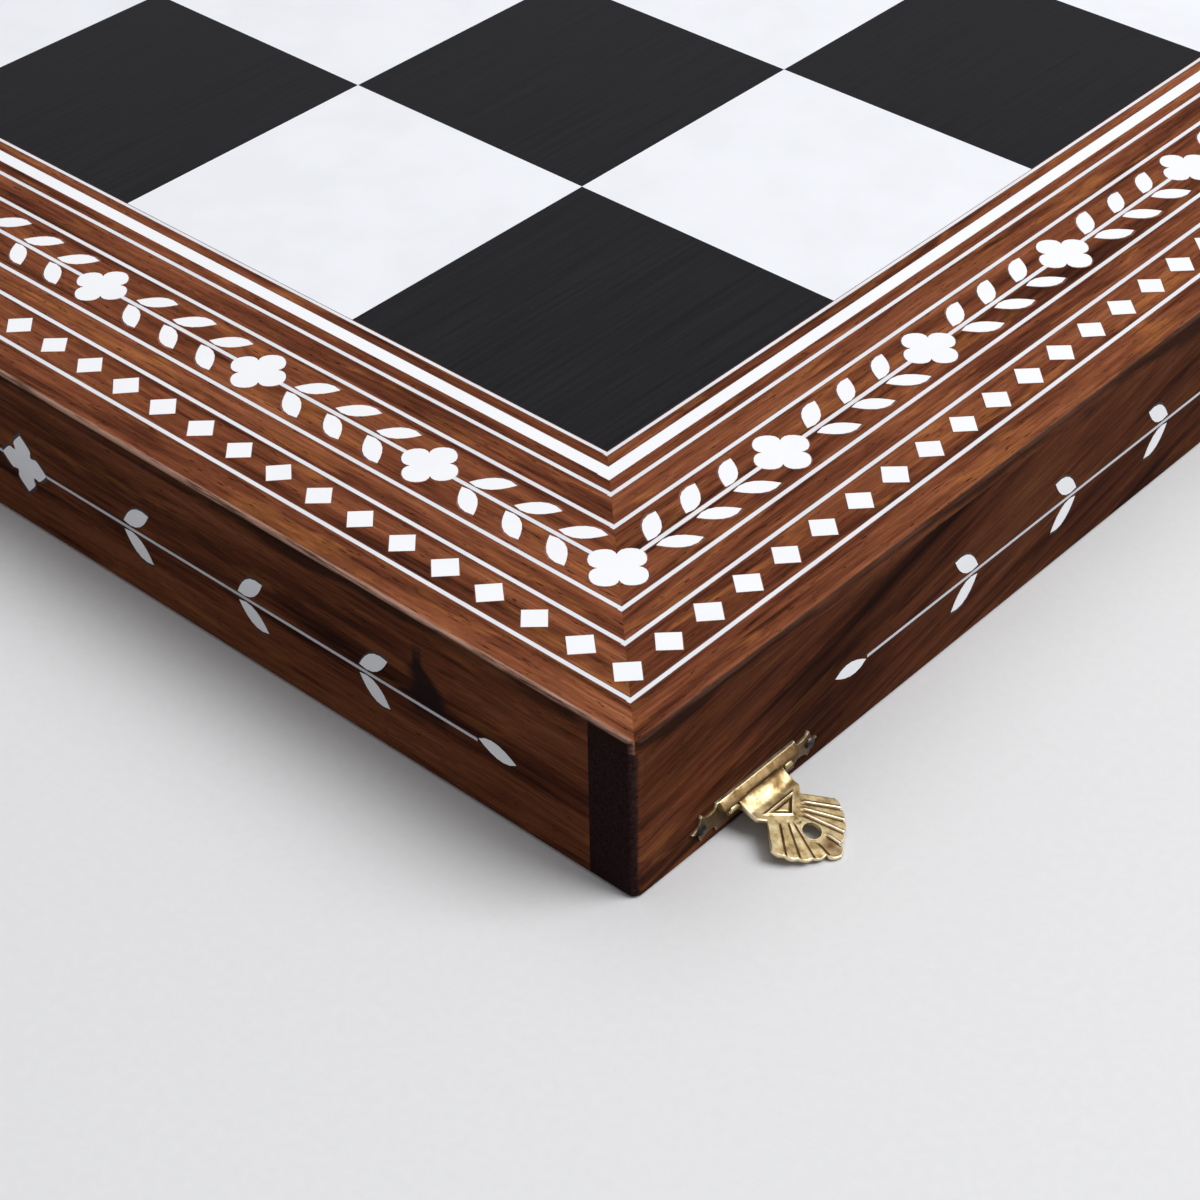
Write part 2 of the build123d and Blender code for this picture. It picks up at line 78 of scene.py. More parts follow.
# The long outer wall of each tray: one sheesham board that runs through to both corners and
# shows its end grain there. Its upright corners and its lower arris are rounded and show wear,
# the upright corners a little pale from wear and a painted highlight. Near its ends and low
# down it is painted paler, a painted pool of lamp light.
halves = {"clasp": 1, "catch": -1}
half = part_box("clasp_half_long_wall")[1].x
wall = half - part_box("clasp_half_long_wall")[0].x
layer_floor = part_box("clasp_half_long_wall")[1].z
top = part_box("clasp_half_dark_squares")[1].z
fold_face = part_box("clasp_half_hinge_wall")[0].x
corner_radius = 1.5 * mm
arris_radius = 0.8 * mm
streak_lean = radians(11)
seam = 0.12 * mm


def add(tree, kind, sockets=(), **settings):
    """One node of a tree, with its settings, and its sockets filled with values or links."""
    made = tree.nodes.new(kind)
    for name, value in settings.items():
        setattr(made, name, value)
    for key, value in dict(sockets).items():
        if isinstance(value, bpy.types.NodeSocket):
            tree.links.new(value, made.inputs[key])
        else:
            made.inputs[key].default_value = value
    return made


def new_material(name, **constants):
    """A material with its shader's constants set, its tree, its shader and the object's coordinates."""
    material = bpy.data.materials.new(name)
    material.use_nodes = True
    tree = material.node_tree
    shader = tree.nodes["Principled BSDF"]
    for key, value in constants.items():
        shader.inputs[key.replace("_", " ")].default_value = value
    return material, tree, shader, add(tree, "ShaderNodeTexCoord").outputs["Object"]


def stretched_noise(tree, coordinates, size, detail=3.0, roughness=0.5, distortion=0.0):
    """Noise whose spots have the given size in metres along each axis."""
    scale = [1 / length for length in size]
    spread = add(tree, "ShaderNodeMapping", {"Vector": coordinates, "Scale": scale})
    return add(tree, "ShaderNodeTexNoise", {
        "Vector": spread.outputs[0], "Scale": 1.0, "Detail": detail, "Roughness": roughness,
        "Distortion": distortion,
    }).outputs[0]


def ramp(tree, factor, stops):
    """A colour ramp with stops of place and colour."""
    made = add(tree, "ShaderNodeValToRGB", {0: factor})
    elements = made.color_ramp.elements
    elements.remove(elements[0])
    for index, (place, colour) in enumerate(stops):
        element = elements.new(place) if index else elements[0]
        element.position = place
        element.color = (*colour, 1)
    return made.outputs[0]


def fade(tree, value, start, end, low=0.0, high=1.0):
    """A soft step from low to high as the value goes from start to end."""
    return add(tree, "ShaderNodeMapRange", {
        "Value": value, "From Min": start, "From Max": end, "To Min": low, "To Max": high,
    }, interpolation_type="SMOOTHSTEP").outputs[0]


def math(tree, operation, first, second=0.0):
    """One sum on two numbers."""
    return add(tree, "ShaderNodeMath", {0: first, 1: second}, operation=operation).outputs[0]


def times(tree, first, *others):
    """The product of some numbers."""
    for other in others:
        first = math(tree, "MULTIPLY", first, other)
    return first


def plus(tree, first, *others):
    """The sum of some numbers."""
    for other in others:
        first = math(tree, "ADD", first, other)
    return first


def blend(tree, factor, below, above, mode="MIX"):
    """One colour laid over another."""
    return add(tree, "ShaderNodeMix", {0: factor, 6: below, 7: above},
               data_type="RGBA", blend_type=mode).outputs[2]


def shaded(tree, colour, level):
    """A colour made darker or paler by a number."""
    grey = add(tree, "ShaderNodeCombineColor", {0: level, 1: level, 2: level}).outputs[0]
    return blend(tree, 1.0, colour, grey, "MULTIPLY")


def paint(tree, shader, colour, roughness=None, relief=None, strength=0.0, depth=0.0):
    """Gives a shader its colour, and a roughness and a relief where there is one."""
    tree.links.new(colour, shader.inputs["Base Color"])
    if roughness is not None:
        tree.links.new(roughness, shader.inputs["Roughness"])
    if relief is not None:
        bump = add(tree, "ShaderNodeBump", {"Strength": strength, "Distance": depth, "Height": relief})
        tree.links.new(bump.outputs[0], shader.inputs["Normal"])


wood_stops = (
    (0.34, (0.036, 0.0118, 0.0070)), (0.42, (0.088, 0.0262, 0.0130)), (0.50, (0.172, 0.0520, 0.0235)),
    (0.60, (0.255, 0.0860, 0.0385)), (0.72, (0.340, 0.1300, 0.0580)),
)
band_length = 0.11
streak_size = (0.03, 0.0014, 0.0014)
fleck_size = (0.021, 0.0034, 0.0034)
fibre_size = (0.006, 0.00034, 0.00034)
pore_size = (0.0022, 0.00024, 0.00024)
stain_size = (0.034, 0.034, 0.009)
wear_and_highlight_size = (0.011, 0.0006, 0.0006)
fleck_colour = (0.385, 0.140, 0.042)
pore_colour = (0.016, 0.005, 0.003, 1)
cap_side_colour = (0.012, 0.005, 0.0038, 1)
cap_end_colour = (0.012, 0.0055, 0.0055, 1)
stain_colour = (0.013, 0.0058, 0.0045, 1)
end_grain_colour = (0.0200, 0.0096, 0.0102, 1)
wear_and_highlight_colour = (0.66, 0.39, 0.29, 1)
knot_colour = (0.0153, 0.0082, 0.0091, 1)


def sheesham(name, along, shift, tone=1.0, figure=1.0, knot=None, end_grain=False, wear_and_highlight=0.35, cap=False,
             lean=0.0, corner_light_pool=1.0, band=8.5 * mm, wave=0.7):
    """Oiled Indian rosewood: dark bands, orange flecks and fine streaks along the board, and open pores;
    paler at its arrises and upright corners from wear and a painted highlight, and where asked paler near its
    ends as a painted pool of light.
    """
    material, tree, shader, place = new_material(name, Specular_IOR_Level=0.006)
    turn = radians(-90) if along == "Y" else 0
    grain = place
    for mapping in ({"Rotation": (0, 0, turn)}, {"Location": shift, "Rotation": (0, lean, 0)}):
        grain = add(tree, "ShaderNodeMapping", {"Vector": grain, **mapping}).outputs[0]
    bands = stretched_noise(tree, grain, (band_length, band, band), 4, 0.6, wave)
    streaks = stretched_noise(tree, grain, streak_size, 4, 0.62, 0.3)
    flecks = stretched_noise(tree, grain, fleck_size, 3, 0.55, 0.8)
    fibres = stretched_noise(tree, grain, fibre_size, 3, 0.6)
    pores = stretched_noise(tree, grain, pore_size, 1, 0.5)
    mixed = plus(tree, times(tree, bands, 0.66), times(tree, streaks, 0.34))
    colour = ramp(tree, mixed, [(level, [part * tone for part in wood]) for level, wood in wood_stops])
    glow = fade(tree, flecks, 0.53, 0.70, 0, 0.62 * figure)
    colour = blend(tree, glow, colour, (*[part * tone for part in fleck_colour], 1))
    colour = shaded(tree, colour, times(tree, fade(tree, fibres, 0.3, 0.7, 0.74, 1.24),
                                        fade(tree, streaks, 0.30, 0.44, 1 - 0.5 * figure, 1.0)))
    open_pores = fade(tree, pores, 0.33, 0.27)
    colour = blend(tree, times(tree, open_pores, 0.8), colour, pore_colour)
    parts = add(tree, "ShaderNodeSeparateXYZ", {0: place}).outputs
    from_x, from_y = [math(tree, "SUBTRACT", half, math(tree, "ABSOLUTE", parts[axis])) for axis in (0, 1)]
    from_edge = math(tree, "MINIMUM", from_x, from_y)
    from_top = math(tree, "SUBTRACT", top, parts[2])
    side_face = fade(tree, from_edge, 0.5 * mm, 0.2 * mm)
    if cap:
        colour = blend(tree, times(tree, side_face, 0.55), colour, cap_side_colour)
        over_end_grain = times(tree, fade(tree, from_x, wall + 0.2 * mm, wall - 0.2 * mm, 0, 0.9),
                               fade(tree, from_y, 0.4 * mm, 0.15 * mm))
        colour = blend(tree, over_end_grain, colour, cap_end_colour)
    # Painted light: the face is made paler near the board's ends and low down, a painted pool of lamp light.
    if corner_light_pool > 1:
        near = times(tree, fade(tree, from_y, 38 * mm, 24 * mm), fade(tree, from_top, 8 * mm, 15 * mm))
        colour = shaded(tree, colour, plus(tree, 1.0, times(tree, near, corner_light_pool - 1)))
    cloud = stretched_noise(tree, place, stain_size, 3, 0.55)
    stain_depth = fade(tree, cloud, 0.36, 0.66, 0.3 * mm, 4.0 * mm)
    stain = fade(tree, math(tree, "SUBTRACT", from_top, stain_depth), 0.9 * mm, -1.2 * mm)
    colour = blend(tree, times(tree, side_face, stain, 0.72), colour, stain_colour)
    if end_grain:
        rings = shaded(tree, end_grain_colour, fade(tree, fibres, 0.3, 0.7, 0.5, 1.4))
        colour = blend(tree, fade(tree, from_y, 0.95 * mm, 0.5 * mm), colour, rings)
    if knot:
        colour = knot_mark(tree, place, colour, knot, bands)
    # Paler along the top arris and the upright corners: wear on the edge, and a painted highlight where the
    # rounding would catch the lamp.
    near_arris = fade(tree, plus(tree, from_edge, from_top), 0.72 * mm, 0.42 * mm)
    near_corner = fade(tree, plus(tree, from_x, from_y), 1.4 * mm, 0.7 * mm, 0, 0.4)
    patches = fade(tree, stretched_noise(tree, grain, wear_and_highlight_size, 4, 0.7), 0.36, 0.60, 0.15, 1.0)
    wear_and_highlight_mask = times(tree, patches, wear_and_highlight, math(tree, "MAXIMUM", near_arris, near_corner))
    colour = blend(tree, wear_and_highlight_mask, colour, wear_and_highlight_colour)
    relief = math(tree, "SUBTRACT", times(tree, fibres, 0.35), open_pores)
    paint(tree, shader, colour, fade(tree, fibres, 0.25, 0.75, 0.36, 0.55), relief, 0.6, 0.06 * mm)
    return material


def knot_mark(tree, place, colour, centre, bands):
    """A small dark knot, broad below, drawn out to a crooked point above and soft at its edge."""
    offset = add(tree, "ShaderNodeVectorMath", {0: place, 1: centre}, operation="SUBTRACT").outputs[0]
    parts = add(tree, "ShaderNodeSeparateXYZ", {0: offset}).outputs
    width = fade(tree, parts[2], 1.0 * mm, 3.2 * mm, 2.35 * mm, 0.7 * mm)
    aside = plus(tree, parts[0], fade(tree, parts[2], -1.0 * mm, 3.0 * mm, 0, 1.6 * mm))
    wobble = times(tree, math(tree, "SUBTRACT", bands, 0.5), 2.2)
    across = plus(tree, math(tree, "DIVIDE", math(tree, "ABSOLUTE", aside), width), wobble)
    tall = math(tree, "DIVIDE", math(tree, "ABSOLUTE", parts[2]), 5.0 * mm)
    tall = plus(tree, tall, times(tree, wobble, 0.6))
    inside = math(tree, "MAXIMUM", across, tall)
    return blend(tree, fade(tree, inside, 1.5, 0.45, 0, 0.94), colour, knot_colour)


def prism(plan, low, high):
    """A board with a flat outline, standing from one height to another."""
    form = bmesh.new()
    base = form.faces.new([form.verts.new((x, y, low)) for x, y in plan])
    raised = bmesh.ops.extrude_face_region(form, geom=[base])
    corners = [part for part in raised["geom"] if isinstance(part, bmesh.types.BMVert)]
    bmesh.ops.translate(form, verts=corners, vec=(0, 0, high - low))
    bmesh.ops.recalc_face_normals(form, faces=form.faces)
    return form


def round_over(form, wanted, radius, steps=4):
    """Rounds the edges whose middle and run pass a test, and shades only the rounding smooth."""
    edges = []
    for edge in form.edges:
        middle = (edge.verts[0].co + edge.verts[1].co) / 2
        run = (edge.verts[1].co - edge.verts[0].co).normalized()
        if wanted(middle, run):
            edges.append(edge)
    made = bmesh.ops.bevel(form, geom=edges, offset=radius, segments=steps, profile=0.5,
                           affect="EDGES", clamp_overlap=True)
    for face in made["faces"]:
        face.smooth = steps > 1


def mesh_of(name, form):
    """The finished mesh of a form."""
    mesh = bpy.data.meshes.new(name)
    form.to_mesh(mesh)
    form.free()
    return mesh


def place_piece(name, form, body, slot, materials, *nodes):
    """Makes an object of a form, and ties it to its body and the solids it stands for; the slot is not used.
    """
    made = stand(name, mesh_of(name, form))
    for material in materials:
        made.data.materials.append(material)
    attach(made, body)
    if nodes:
        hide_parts(*nodes)
    return made


def half_piece(name, part, form, slot, materials, solid=None):
    """A piece of one half, which stands for its solid of the same name, or for another one."""
    solid = f"{name}_half_{solid or part}"
    return place_piece(f"{name}_{part}", form, f"{name}_half", slot, materials, solid)


def rectangle(x0, x1, y0, y1):
    """The corners of a rectangle."""
    return [(x0, y0), (x1, y0), (x1, y1), (x0, y1)]


for name, side in halves.items():
    form = prism(rectangle(side * (half - wall), side * half, -half, half), 0, layer_floor)
    outer = half - 0.1 * mm
    round_over(form, lambda p, run: abs(run.z) > 0.9 and side * p.x > outer, corner_radius, 5)
    round_over(form, lambda p, run: p.z < seam and (side * p.x > half - corner_radius or abs(p.y) > outer),
               arris_radius)
    wood = sheesham(f"{name}_long_wall_sheesham", "Y", (0.31 * side, 0.17, 0.05), 0.40, 0.5,
                    end_grain=True, wear_and_highlight=0.08, lean=streak_lean, corner_light_pool=1.9, band=14 * mm, wave=1.5)
    half_piece(name, "long_wall", form, "sheesham", [wood])


# The short walls at the trays' ends: sheesham boards butted between the long wall and the
# hinge wall. The front one of the clasp's half has a small dark knot.
fold_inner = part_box("clasp_half_hinge_wall")[1].x
knot_place = (half - 35.8 * mm, -half, top - 10.9 * mm)
inner = half - wall

for name, side in halves.items():
    for run, end in (("front", -1), ("back", 1)):
        form = prism(rectangle(side * fold_inner, side * inner, end * inner, end * half), 0, layer_floor)
        round_over(form, lambda p, d: p.z < seam and abs(p.y) > half - seam, arris_radius)
        knot = knot_place if (name, run) == ("clasp", "front") else None
        wood = sheesham(f"{name}_{run}_wall_sheesham", "X", (0.12 * side, 0.4 * end, 0.2), 0.70, 0.7, knot,
                        wear_and_highlight=0.12)
        half_piece(name, f"{run}_wall", form, "sheesham", [wood])


# The hinge walls stand either side of the fold, recessed for the brass leaves and notched
# for their barrels. The frame's own solids have the right shape and take the wood's finish.
def dress(node, material):
    """Gives one of the frame's own solids its finish."""
    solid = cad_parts[node].data
    solid.materials.clear()
    solid.materials.append(material)


for name, side in halves.items():
    dress(f"{name}_half_hinge_wall", sheesham(f"{name}_hinge_wall_sheesham", "Y", (0.5 * side, 0.33, 0.1),
                                              0.6, 0.7, end_grain=True, wear_and_highlight=0.12))


# The border: three mitred sheesham boards round each half, a little over two millimetres
# thick, glued on the walls. Their outer edge is rounded over by hand, and the front one's edge
# is paler, from wear and a painted highlight.
edge_round = 0.6 * mm
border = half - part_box("clasp_half_border_long")[0].x
arc_steps = 4


def corner_arc(start, end, radius, x, y):
    """Points round a corner whose arc's centre is at x, y."""
    angles = [start + (end - start) * step / arc_steps for step in range(arc_steps + 1)]
    return [(x + radius * cos(angle), y + radius * sin(angle)) for angle in angles]


def border_plan(run, side):
    """The outline of one mitred border board, with its share of the rounded corners."""
    reach = half - corner_radius
    near = half - border
    if run == "long":
        lower = corner_arc(-pi / 4, 0, corner_radius, reach, -reach)
        upper = corner_arc(0, pi / 4, corner_radius, reach, reach)
        plan = lower + upper + [(near, near), (near, -near)]
    else:
        arc = corner_arc(-pi / 2, -pi / 4, corner_radius, reach, -reach)
        plan = [(fold_face, -half)] + arc + [(near, -near), (fold_face, -near)]
        if run == "back":
            plan = [(x, -y) for x, y in plan]
    return [(side * x, y) for x, y in plan]


for name, side in halves.items():
    for run, along, shift in (("long", "Y", 0.0), ("front", "X", 0.37), ("back", "X", 0.71)):
        form = prism(border_plan(run, side), layer_floor, top)
        rim = half - 0.6 * corner_radius
        round_over(form, lambda p, d: p.z > top - seam and max(abs(p.x), abs(p.y)) > rim, edge_round)
        wood = sheesham(f"{name}_border_{run}_sheesham", along, (0.2 + shift, 0.3 * side, shift), 1.03, 0.75,
                        wear_and_highlight=0.75 if run == "front" else 0.06, cap=True)
        half_piece(name, f"border_{run}", form, "sheesham", [wood])


# White stringing let into the border: thin lines round the diamonds and the vine, a broad one
# near the squares and a narrow one that edges them. The long lines run through at the corners.
line_width = 0.66 * mm
line_rise = 0.035 * mm
line_sink = 0.4 * mm
lac_rise = 0.018 * mm
lac_margin = 0.13 * mm
overshoot = 0.12 * mm
edge_band = 5.74 * mm
diamond_band = 7.69 * mm
outer_gap = 4.83 * mm
vine_band = 12.13 * mm
inner_gap = 5.05 * mm
wide_line_gap = 3.37 * mm
wide_line_width = 2.1 * mm
field_line_width = 0.55 * mm
diamond_lines = (edge_band, edge_band + diamond_band)
vine_lines = (diamond_lines[1] + outer_gap, diamond_lines[1] + outer_gap + vine_band)
inner_line = vine_lines[1] + inner_gap
thin_lines = (*diamond_lines, *vine_lines, inner_line)
vine_centre = sum(vine_lines) / 2
diamond_centre = sum(diamond_lines) / 2


def white_inlay(name, colour, shade):
    """Polished white resin with faint clouds."""
    material, tree, shader, place = new_material(name, Specular_IOR_Level=0.3, Roughness=0.34)
    clouds = stretched_noise(tree, place, (0.011, 0.011, 0.011), 3)
    tone = blend(tree, fade(tree, clouds, 0.35, 0.7), (*colour, 1), (*[part * shade for part in colour], 1))
    paint(tree, shader, tone)
    return material


def lac_filler(name):
    """The reddish lac and sawdust that fills the joint round each inlay."""
    material, tree, shader, place = new_material(name, Roughness=0.5, Specular_IOR_Level=0.35)
    spots = stretched_noise(tree, place, (0.0028, 0.0028, 0.0028), 4, 0.65)
    colour = ramp(tree, spots, [
        (0.34, (0.05, 0.016, 0.009)), (0.5, (0.14, 0.04, 0.02)), (0.66, (0.30, 0.085, 0.035)),
    ])
    paint(tree, shader, colour)
    return material


line_white = white_inlay("line_resin", (0.78, 0.80, 0.84), 0.92)
pure_white = white_inlay("motif_resin", (0.90, 0.91, 0.94), 0.97)
lac = lac_filler("lac_filler")


def add_to(form, part):
    """Moves a part's faces into a form."""
    mesh = mesh_of("part", part)
    form.from_mesh(mesh)
    bpy.data.meshes.remove(mesh)


def line_and_bed(width):
    """The width, rise and material of a line, and of the bed of lac round it."""
    return (width, line_rise, 0), (width + 2 * lac_margin, lac_rise, 1)


def add_bar(form, plan, low, high, slot_index, place=Matrix()):
    """Adds a flat bar to a form, turned to its place."""
    bar = prism(plan, low, high)
    bar.transform(place)
    for face in bar.faces:
        face.material_index = slot_index
    add_to(form, bar)


def strip(form, run, side, centre, width, extra=0.0):
    """A line along a side of a half and its bed of lac, as flat bars set into the wood."""
    for bar_width, rise, slot_index in line_and_bed(width):
        near = half - centre - bar_width / 2
        far = near + bar_width
        if run == "long":
            plan = rectangle(side * near, side * far, -far - extra, far + extra)
        else:
            end = 1 if run == "back" else -1
            plan = rectangle(side * fold_face, side * near, end * near, end * far)
        add_bar(form, plan, top - line_sink, top + rise, slot_index)


runs = ("long", "front", "back")
thin = [(centre, line_width) for centre in thin_lines] + [(border - field_line_width / 2, field_line_width)]
wide = [(inner_line + wide_line_gap, wide_line_width)]
for name, side in halves.items():
    for part, lines, white in (("thin_lines", thin, line_white), ("wide_line", wide, pure_white)):
        form = bmesh.new()
        for centre, width in lines:
            for run in runs:
                strip(form, run, side, centre, width, overshoot)
        half_piece(name, part, form, "white_inlay", [white, lac])


# The squares: flat tiles of ebonised wood and of white resin, planed flush with the border.
# The frame's own solids have the right shape and take their finish here.
def ebonised(name):
    """Wood stained black, satin, with faint grain and a few pale specks and hairlines."""
    material, tree, shader, place = new_material(name, Specular_IOR_Level=0.03)
    grain = stretched_noise(tree, place, (0.0007, 0.03, 0.0007), 4, 0.6)
    colour = ramp(tree, grain, [(0.3, (0.0078, 0.0076, 0.0090)), (0.7, (0.0155, 0.0152, 0.0176))])
    specks = fade(tree, stretched_noise(tree, place, (0.0005, 0.0005, 0.0005), 1), 0.80, 0.84, 0, 0.5)
    colour = blend(tree, specks, colour, (0.10, 0.10, 0.11, 1))
    paint(tree, shader, colour, fade(tree, grain, 0.3, 0.7, 0.34, 0.46), grain, 0.3, 0.02 * mm)
    return material


black_wood = ebonised("ebonised_squares")
square_white = white_inlay("square_resin", (0.84, 0.855, 0.90), 0.96)
for name in halves:
    for shade, material in (("dark", black_wood), ("light", square_white)):
        dress(f"{name}_half_{shade}_squares", material)


# Motifs cut from white resin with a fret saw and set by hand, each in a bed of reddish lac,
# so no two lie quite alike: the row of diamonds, and the border's vine of flowers and leaves.
motif_rise = 0.05 * mm
motif_sink = 0.3 * mm
lac_depth = 0.4


def motif_tree():
    """Sets a piece and its bed of lac on every vertex, turned by the vertex and a little loose."""
    tree = bpy.data.node_groups.new("motifs_set_by_hand", "GeometryNodeTree")
    for name, kind in (("Geometry", "Geometry"), ("Piece", "Object"), ("Loose turn", "Float"),
                       ("Loose size", "Float"), ("Lac size", "Vector"), ("Seed", "Int"),
                       ("Resin", "Material"), ("Lac", "Material")):
        tree.interface.new_socket(name=name, in_out="INPUT", socket_type=f"NodeSocket{kind}")
    tree.interface.new_socket(name="Geometry", in_out="OUTPUT", socket_type="NodeSocketGeometry")
    given = add(tree, "NodeGroupInput").outputs
    piece = add(tree, "GeometryNodeObjectInfo", {"Object": given["Piece"]}).outputs["Geometry"]
    turn = add(tree, "GeometryNodeInputNamedAttribute", {"Name": "turn"}, data_type="FLOAT_VECTOR")
    spin = add(tree, "FunctionNodeRandomValue", {
        "Min": times(tree, given["Loose turn"], -1.0),
        "Max": given["Loose turn"], "Seed": given["Seed"],
    }, data_type="FLOAT")
    spin_z = add(tree, "ShaderNodeCombineXYZ", {2: spin.outputs["Value"]}).outputs[0]
    grow = add(tree, "FunctionNodeRandomValue", {
        "Min": math(tree, "SUBTRACT", 1.0, given["Loose size"]),
        "Max": plus(tree, 1.0, given["Loose size"]),
        "Seed": plus(tree, given["Seed"], 1.0),
    }, data_type="FLOAT").outputs["Value"]
    both = add(tree, "GeometryNodeJoinGeometry")
    bed = add(tree, "ShaderNodeVectorMath", {0: given["Lac size"], 3: grow}, operation="SCALE").outputs[0]
    for size, finish in ((grow, given["Resin"]), (bed, given["Lac"])):
        put = add(tree, "GeometryNodeInstanceOnPoints", {
            "Points": given["Geometry"], "Instance": piece, "Rotation": turn.outputs["Attribute"],
            "Scale": size,
        })
        spun = add(tree, "GeometryNodeRotateInstances", {"Instances": put.outputs[0], "Rotation": spin_z})
        real = add(tree, "GeometryNodeRealizeInstances", {"Geometry": spun.outputs[0]})
        painted = add(tree, "GeometryNodeSetMaterial", {"Geometry": real.outputs[0], "Material": finish})
        tree.links.new(painted.outputs[0], both.inputs[0])
    add(tree, "NodeGroupOutput", {0: both.outputs[0]})
    return tree


set_motifs = motif_tree()


def cut_piece(name, outline):
    """The pattern of one motif, a thin prism about the wood's surface, not placed itself."""
    return bpy.data.objects.new(name, mesh_of(name, prism(outline, -motif_sink, motif_rise)))


def with_modifiers(made):
    """The mesh of an object as its modifiers leave it."""
    return bpy.data.meshes.new_from_object(made.evaluated_get(bpy.context.evaluated_depsgraph_get()))


def discard(made):
    """Removes an object and its mesh."""
    mesh = made.data
    bpy.data.objects.remove(made)
    bpy.data.meshes.remove(mesh)


def sow(form, piece, spots, seed, lac_size, loose_turn, loose_size, filler=lac):
    """Adds a motif to a form at every spot, a place with its turn."""
    mesh = bpy.data.meshes.new("spots")
    mesh.from_pydata([spot.translation for spot in spots], [], [])
    turns = mesh.attributes.new("turn", "FLOAT_VECTOR", "POINT")
    for item, spot in zip(turns.data, spots):
        item.vector = spot.to_euler()
    sown = stand("spots", mesh)
    modifier = sown.modifiers.new("motifs", "NODES")
    modifier.node_group = set_motifs
    values = {"Piece": piece, "Loose turn": loose_turn, "Loose size": loose_size,
              "Lac size": (*lac_size, lac_depth), "Seed": seed, "Resin": pure_white, "Lac": filler}
    for item in set_motifs.interface.items_tree:
        if item.name in values and item.in_out == "INPUT":
            modifier[item.identifier] = values[item.name]
    result = with_modifiers(sown)
    resin_slot = result.materials.find(pure_white.name)
    for face in result.polygons:
        face.material_index = int(face.material_index != resin_slot)
    form.from_mesh(result)
    discard(sown)
    bpy.data.meshes.remove(result)


def place_with_axes(along, second, third, place):
    """A place whose X, Y and Z run in three directions."""
    made = Matrix((along, second, third)).transposed().to_4x4()
    made.translation = place
    return made


def side_matrix(run, side):
    """A side of the board: X the way its vine grows, Y in to the squares, Z up, from its first corner."""
    along, corner = {
        "front": (Vector((1, 0, 0)), (-half, -half)),
        "back": (Vector((-1, 0, 0)), (half, half)),
    }.get(run, (Vector((0, side, 0)), (side * half, -side * half)))
    up = Vector((0, 0, 1))
    return place_with_axes(along, up.cross(along), up, (*corner, top))


def places_along(run, side, inset, step):
    """Distances from a side's first corner; on an end side from the outer corner towards the fold."""
    length = 2 * half
    if run == "long":
        count = round((length - 2 * inset) / step)
        return [inset + (length - 2 * inset) * index / count for index in range(count + 1)]
    first_is_fold = (side > 0) == (run == "front")
    count = int((half - inset - fold_margin / 2) / step) + 1
    from_corner = [inset + index * step for index in range(count)]
    return [length - place if first_is_fold else place for place in from_corner]


def spots_along(run, side, places, inset, turn=0.0):
    """Spots at distances along a side and inwards from its edge."""
    return [
        side_matrix(run, side) @ Matrix.Translation((place, inset, 0)) @ Matrix.Rotation(turn, 4, "Z")
        for place in places
    ]


fold_margin = 6.0 * mm
diamond_diagonal = 4.95 * mm
diamond_pitch = 7.8 * mm
diamond_loose_turn = radians(3.5)


def end_step(inset, pitch):
    """The step near a pitch that puts the fold midway between two places of an end side."""
    length = 2 * (half - inset)
    return length / (2 * int(length / pitch / 2) + 1)


diamond = cut_piece("diamond_pattern", [
    (diamond_diagonal / 2 * cos(quarter * pi / 2), diamond_diagonal / 2 * sin(quarter * pi / 2))
    for quarter in range(4)
])
for name, side in halves.items():
    form = bmesh.new()
    for index, run in enumerate(runs):
        pitch = diamond_pitch if run == "long" else end_step(diamond_centre, diamond_pitch)
        places = places_along(run, side, diamond_centre, pitch)
        spots = spots_along(run, side, places if run == "long" else places[1:], diamond_centre)
        sow(form, diamond, spots, 11 + index, (1.07, 1.07), diamond_loose_turn, 0.03)
    half_piece(name, "diamonds", form, "white_inlay", [pure_white, lac])

flower_pitch = 34.2 * mm
flower_reach = 4.66 * mm
lobe_mouth = Vector((2.38, 2.1)) * mm
lobe_shoulder = Vector((3.4, 2.42)) * mm
lobe_end_pull = 1.1 * mm
notch_depth = 1.9 * mm


def bow(start, start_pull, end_pull, end, steps=6):
    """Points on a smooth curve from its start up to, but without, its end."""
    return [
        start * (1 - t) ** 3 + start_pull * 3 * t * (1 - t) ** 2
        + end_pull * 3 * t * t * (1 - t) + end * t ** 3
        for t in [step / steps for step in range(steps)]
    ]


def four_petals(half_petal, notch):
    """Four like petals from half of one, given from its tip to its root, with a notch between each two."""
    petal = [Vector((point.x, -point.y)) for point in reversed(half_petal)] + half_petal[1:]
    petal.append(Vector((notch, notch)))
    outline = []
    for quarter in range(4):
        turn = Matrix.Rotation(quarter * pi / 2, 2)
        outline += [tuple(turn @ point) for point in petal]
    return outline


lobe_tip = Vector((flower_reach, 0))
half_lobe = bow(lobe_tip, lobe_tip + Vector((0, lobe_end_pull)), lobe_shoulder, lobe_mouth, 5) + [lobe_mouth]
leaf_tip = Vector((2.8, 4.25)) * mm
leaf_base = Vector((-2.8, 0.76)) * mm
leaf_pairs = 3
leaf_gap = 0.58 * mm
leaf_lead = 0.6 * mm


def leaf_outline(mirror=1, tip=leaf_tip, base=leaf_base):
    """A leaf with a full shoulder near its tip on the outer side, and near its base on the other."""
    along = (tip - base).normalized()
    across = Vector((-along.y, along.x))
    length = (tip - base).length
    edge = bow(tip, tip - along * 0.30 * length + across * 0.36 * length,
               base + along * 0.30 * length + across * 0.19 * length, base)
    outline = edge + [tip + base - point for point in edge]
    return [(point.x, mirror * point.y) for point in outline]


flower = cut_piece("flower_pattern", four_petals(half_lobe, notch_depth))
leaves = [cut_piece("inner_leaf_pattern", leaf_outline()), cut_piece("outer_leaf_pattern", leaf_outline(-1))]


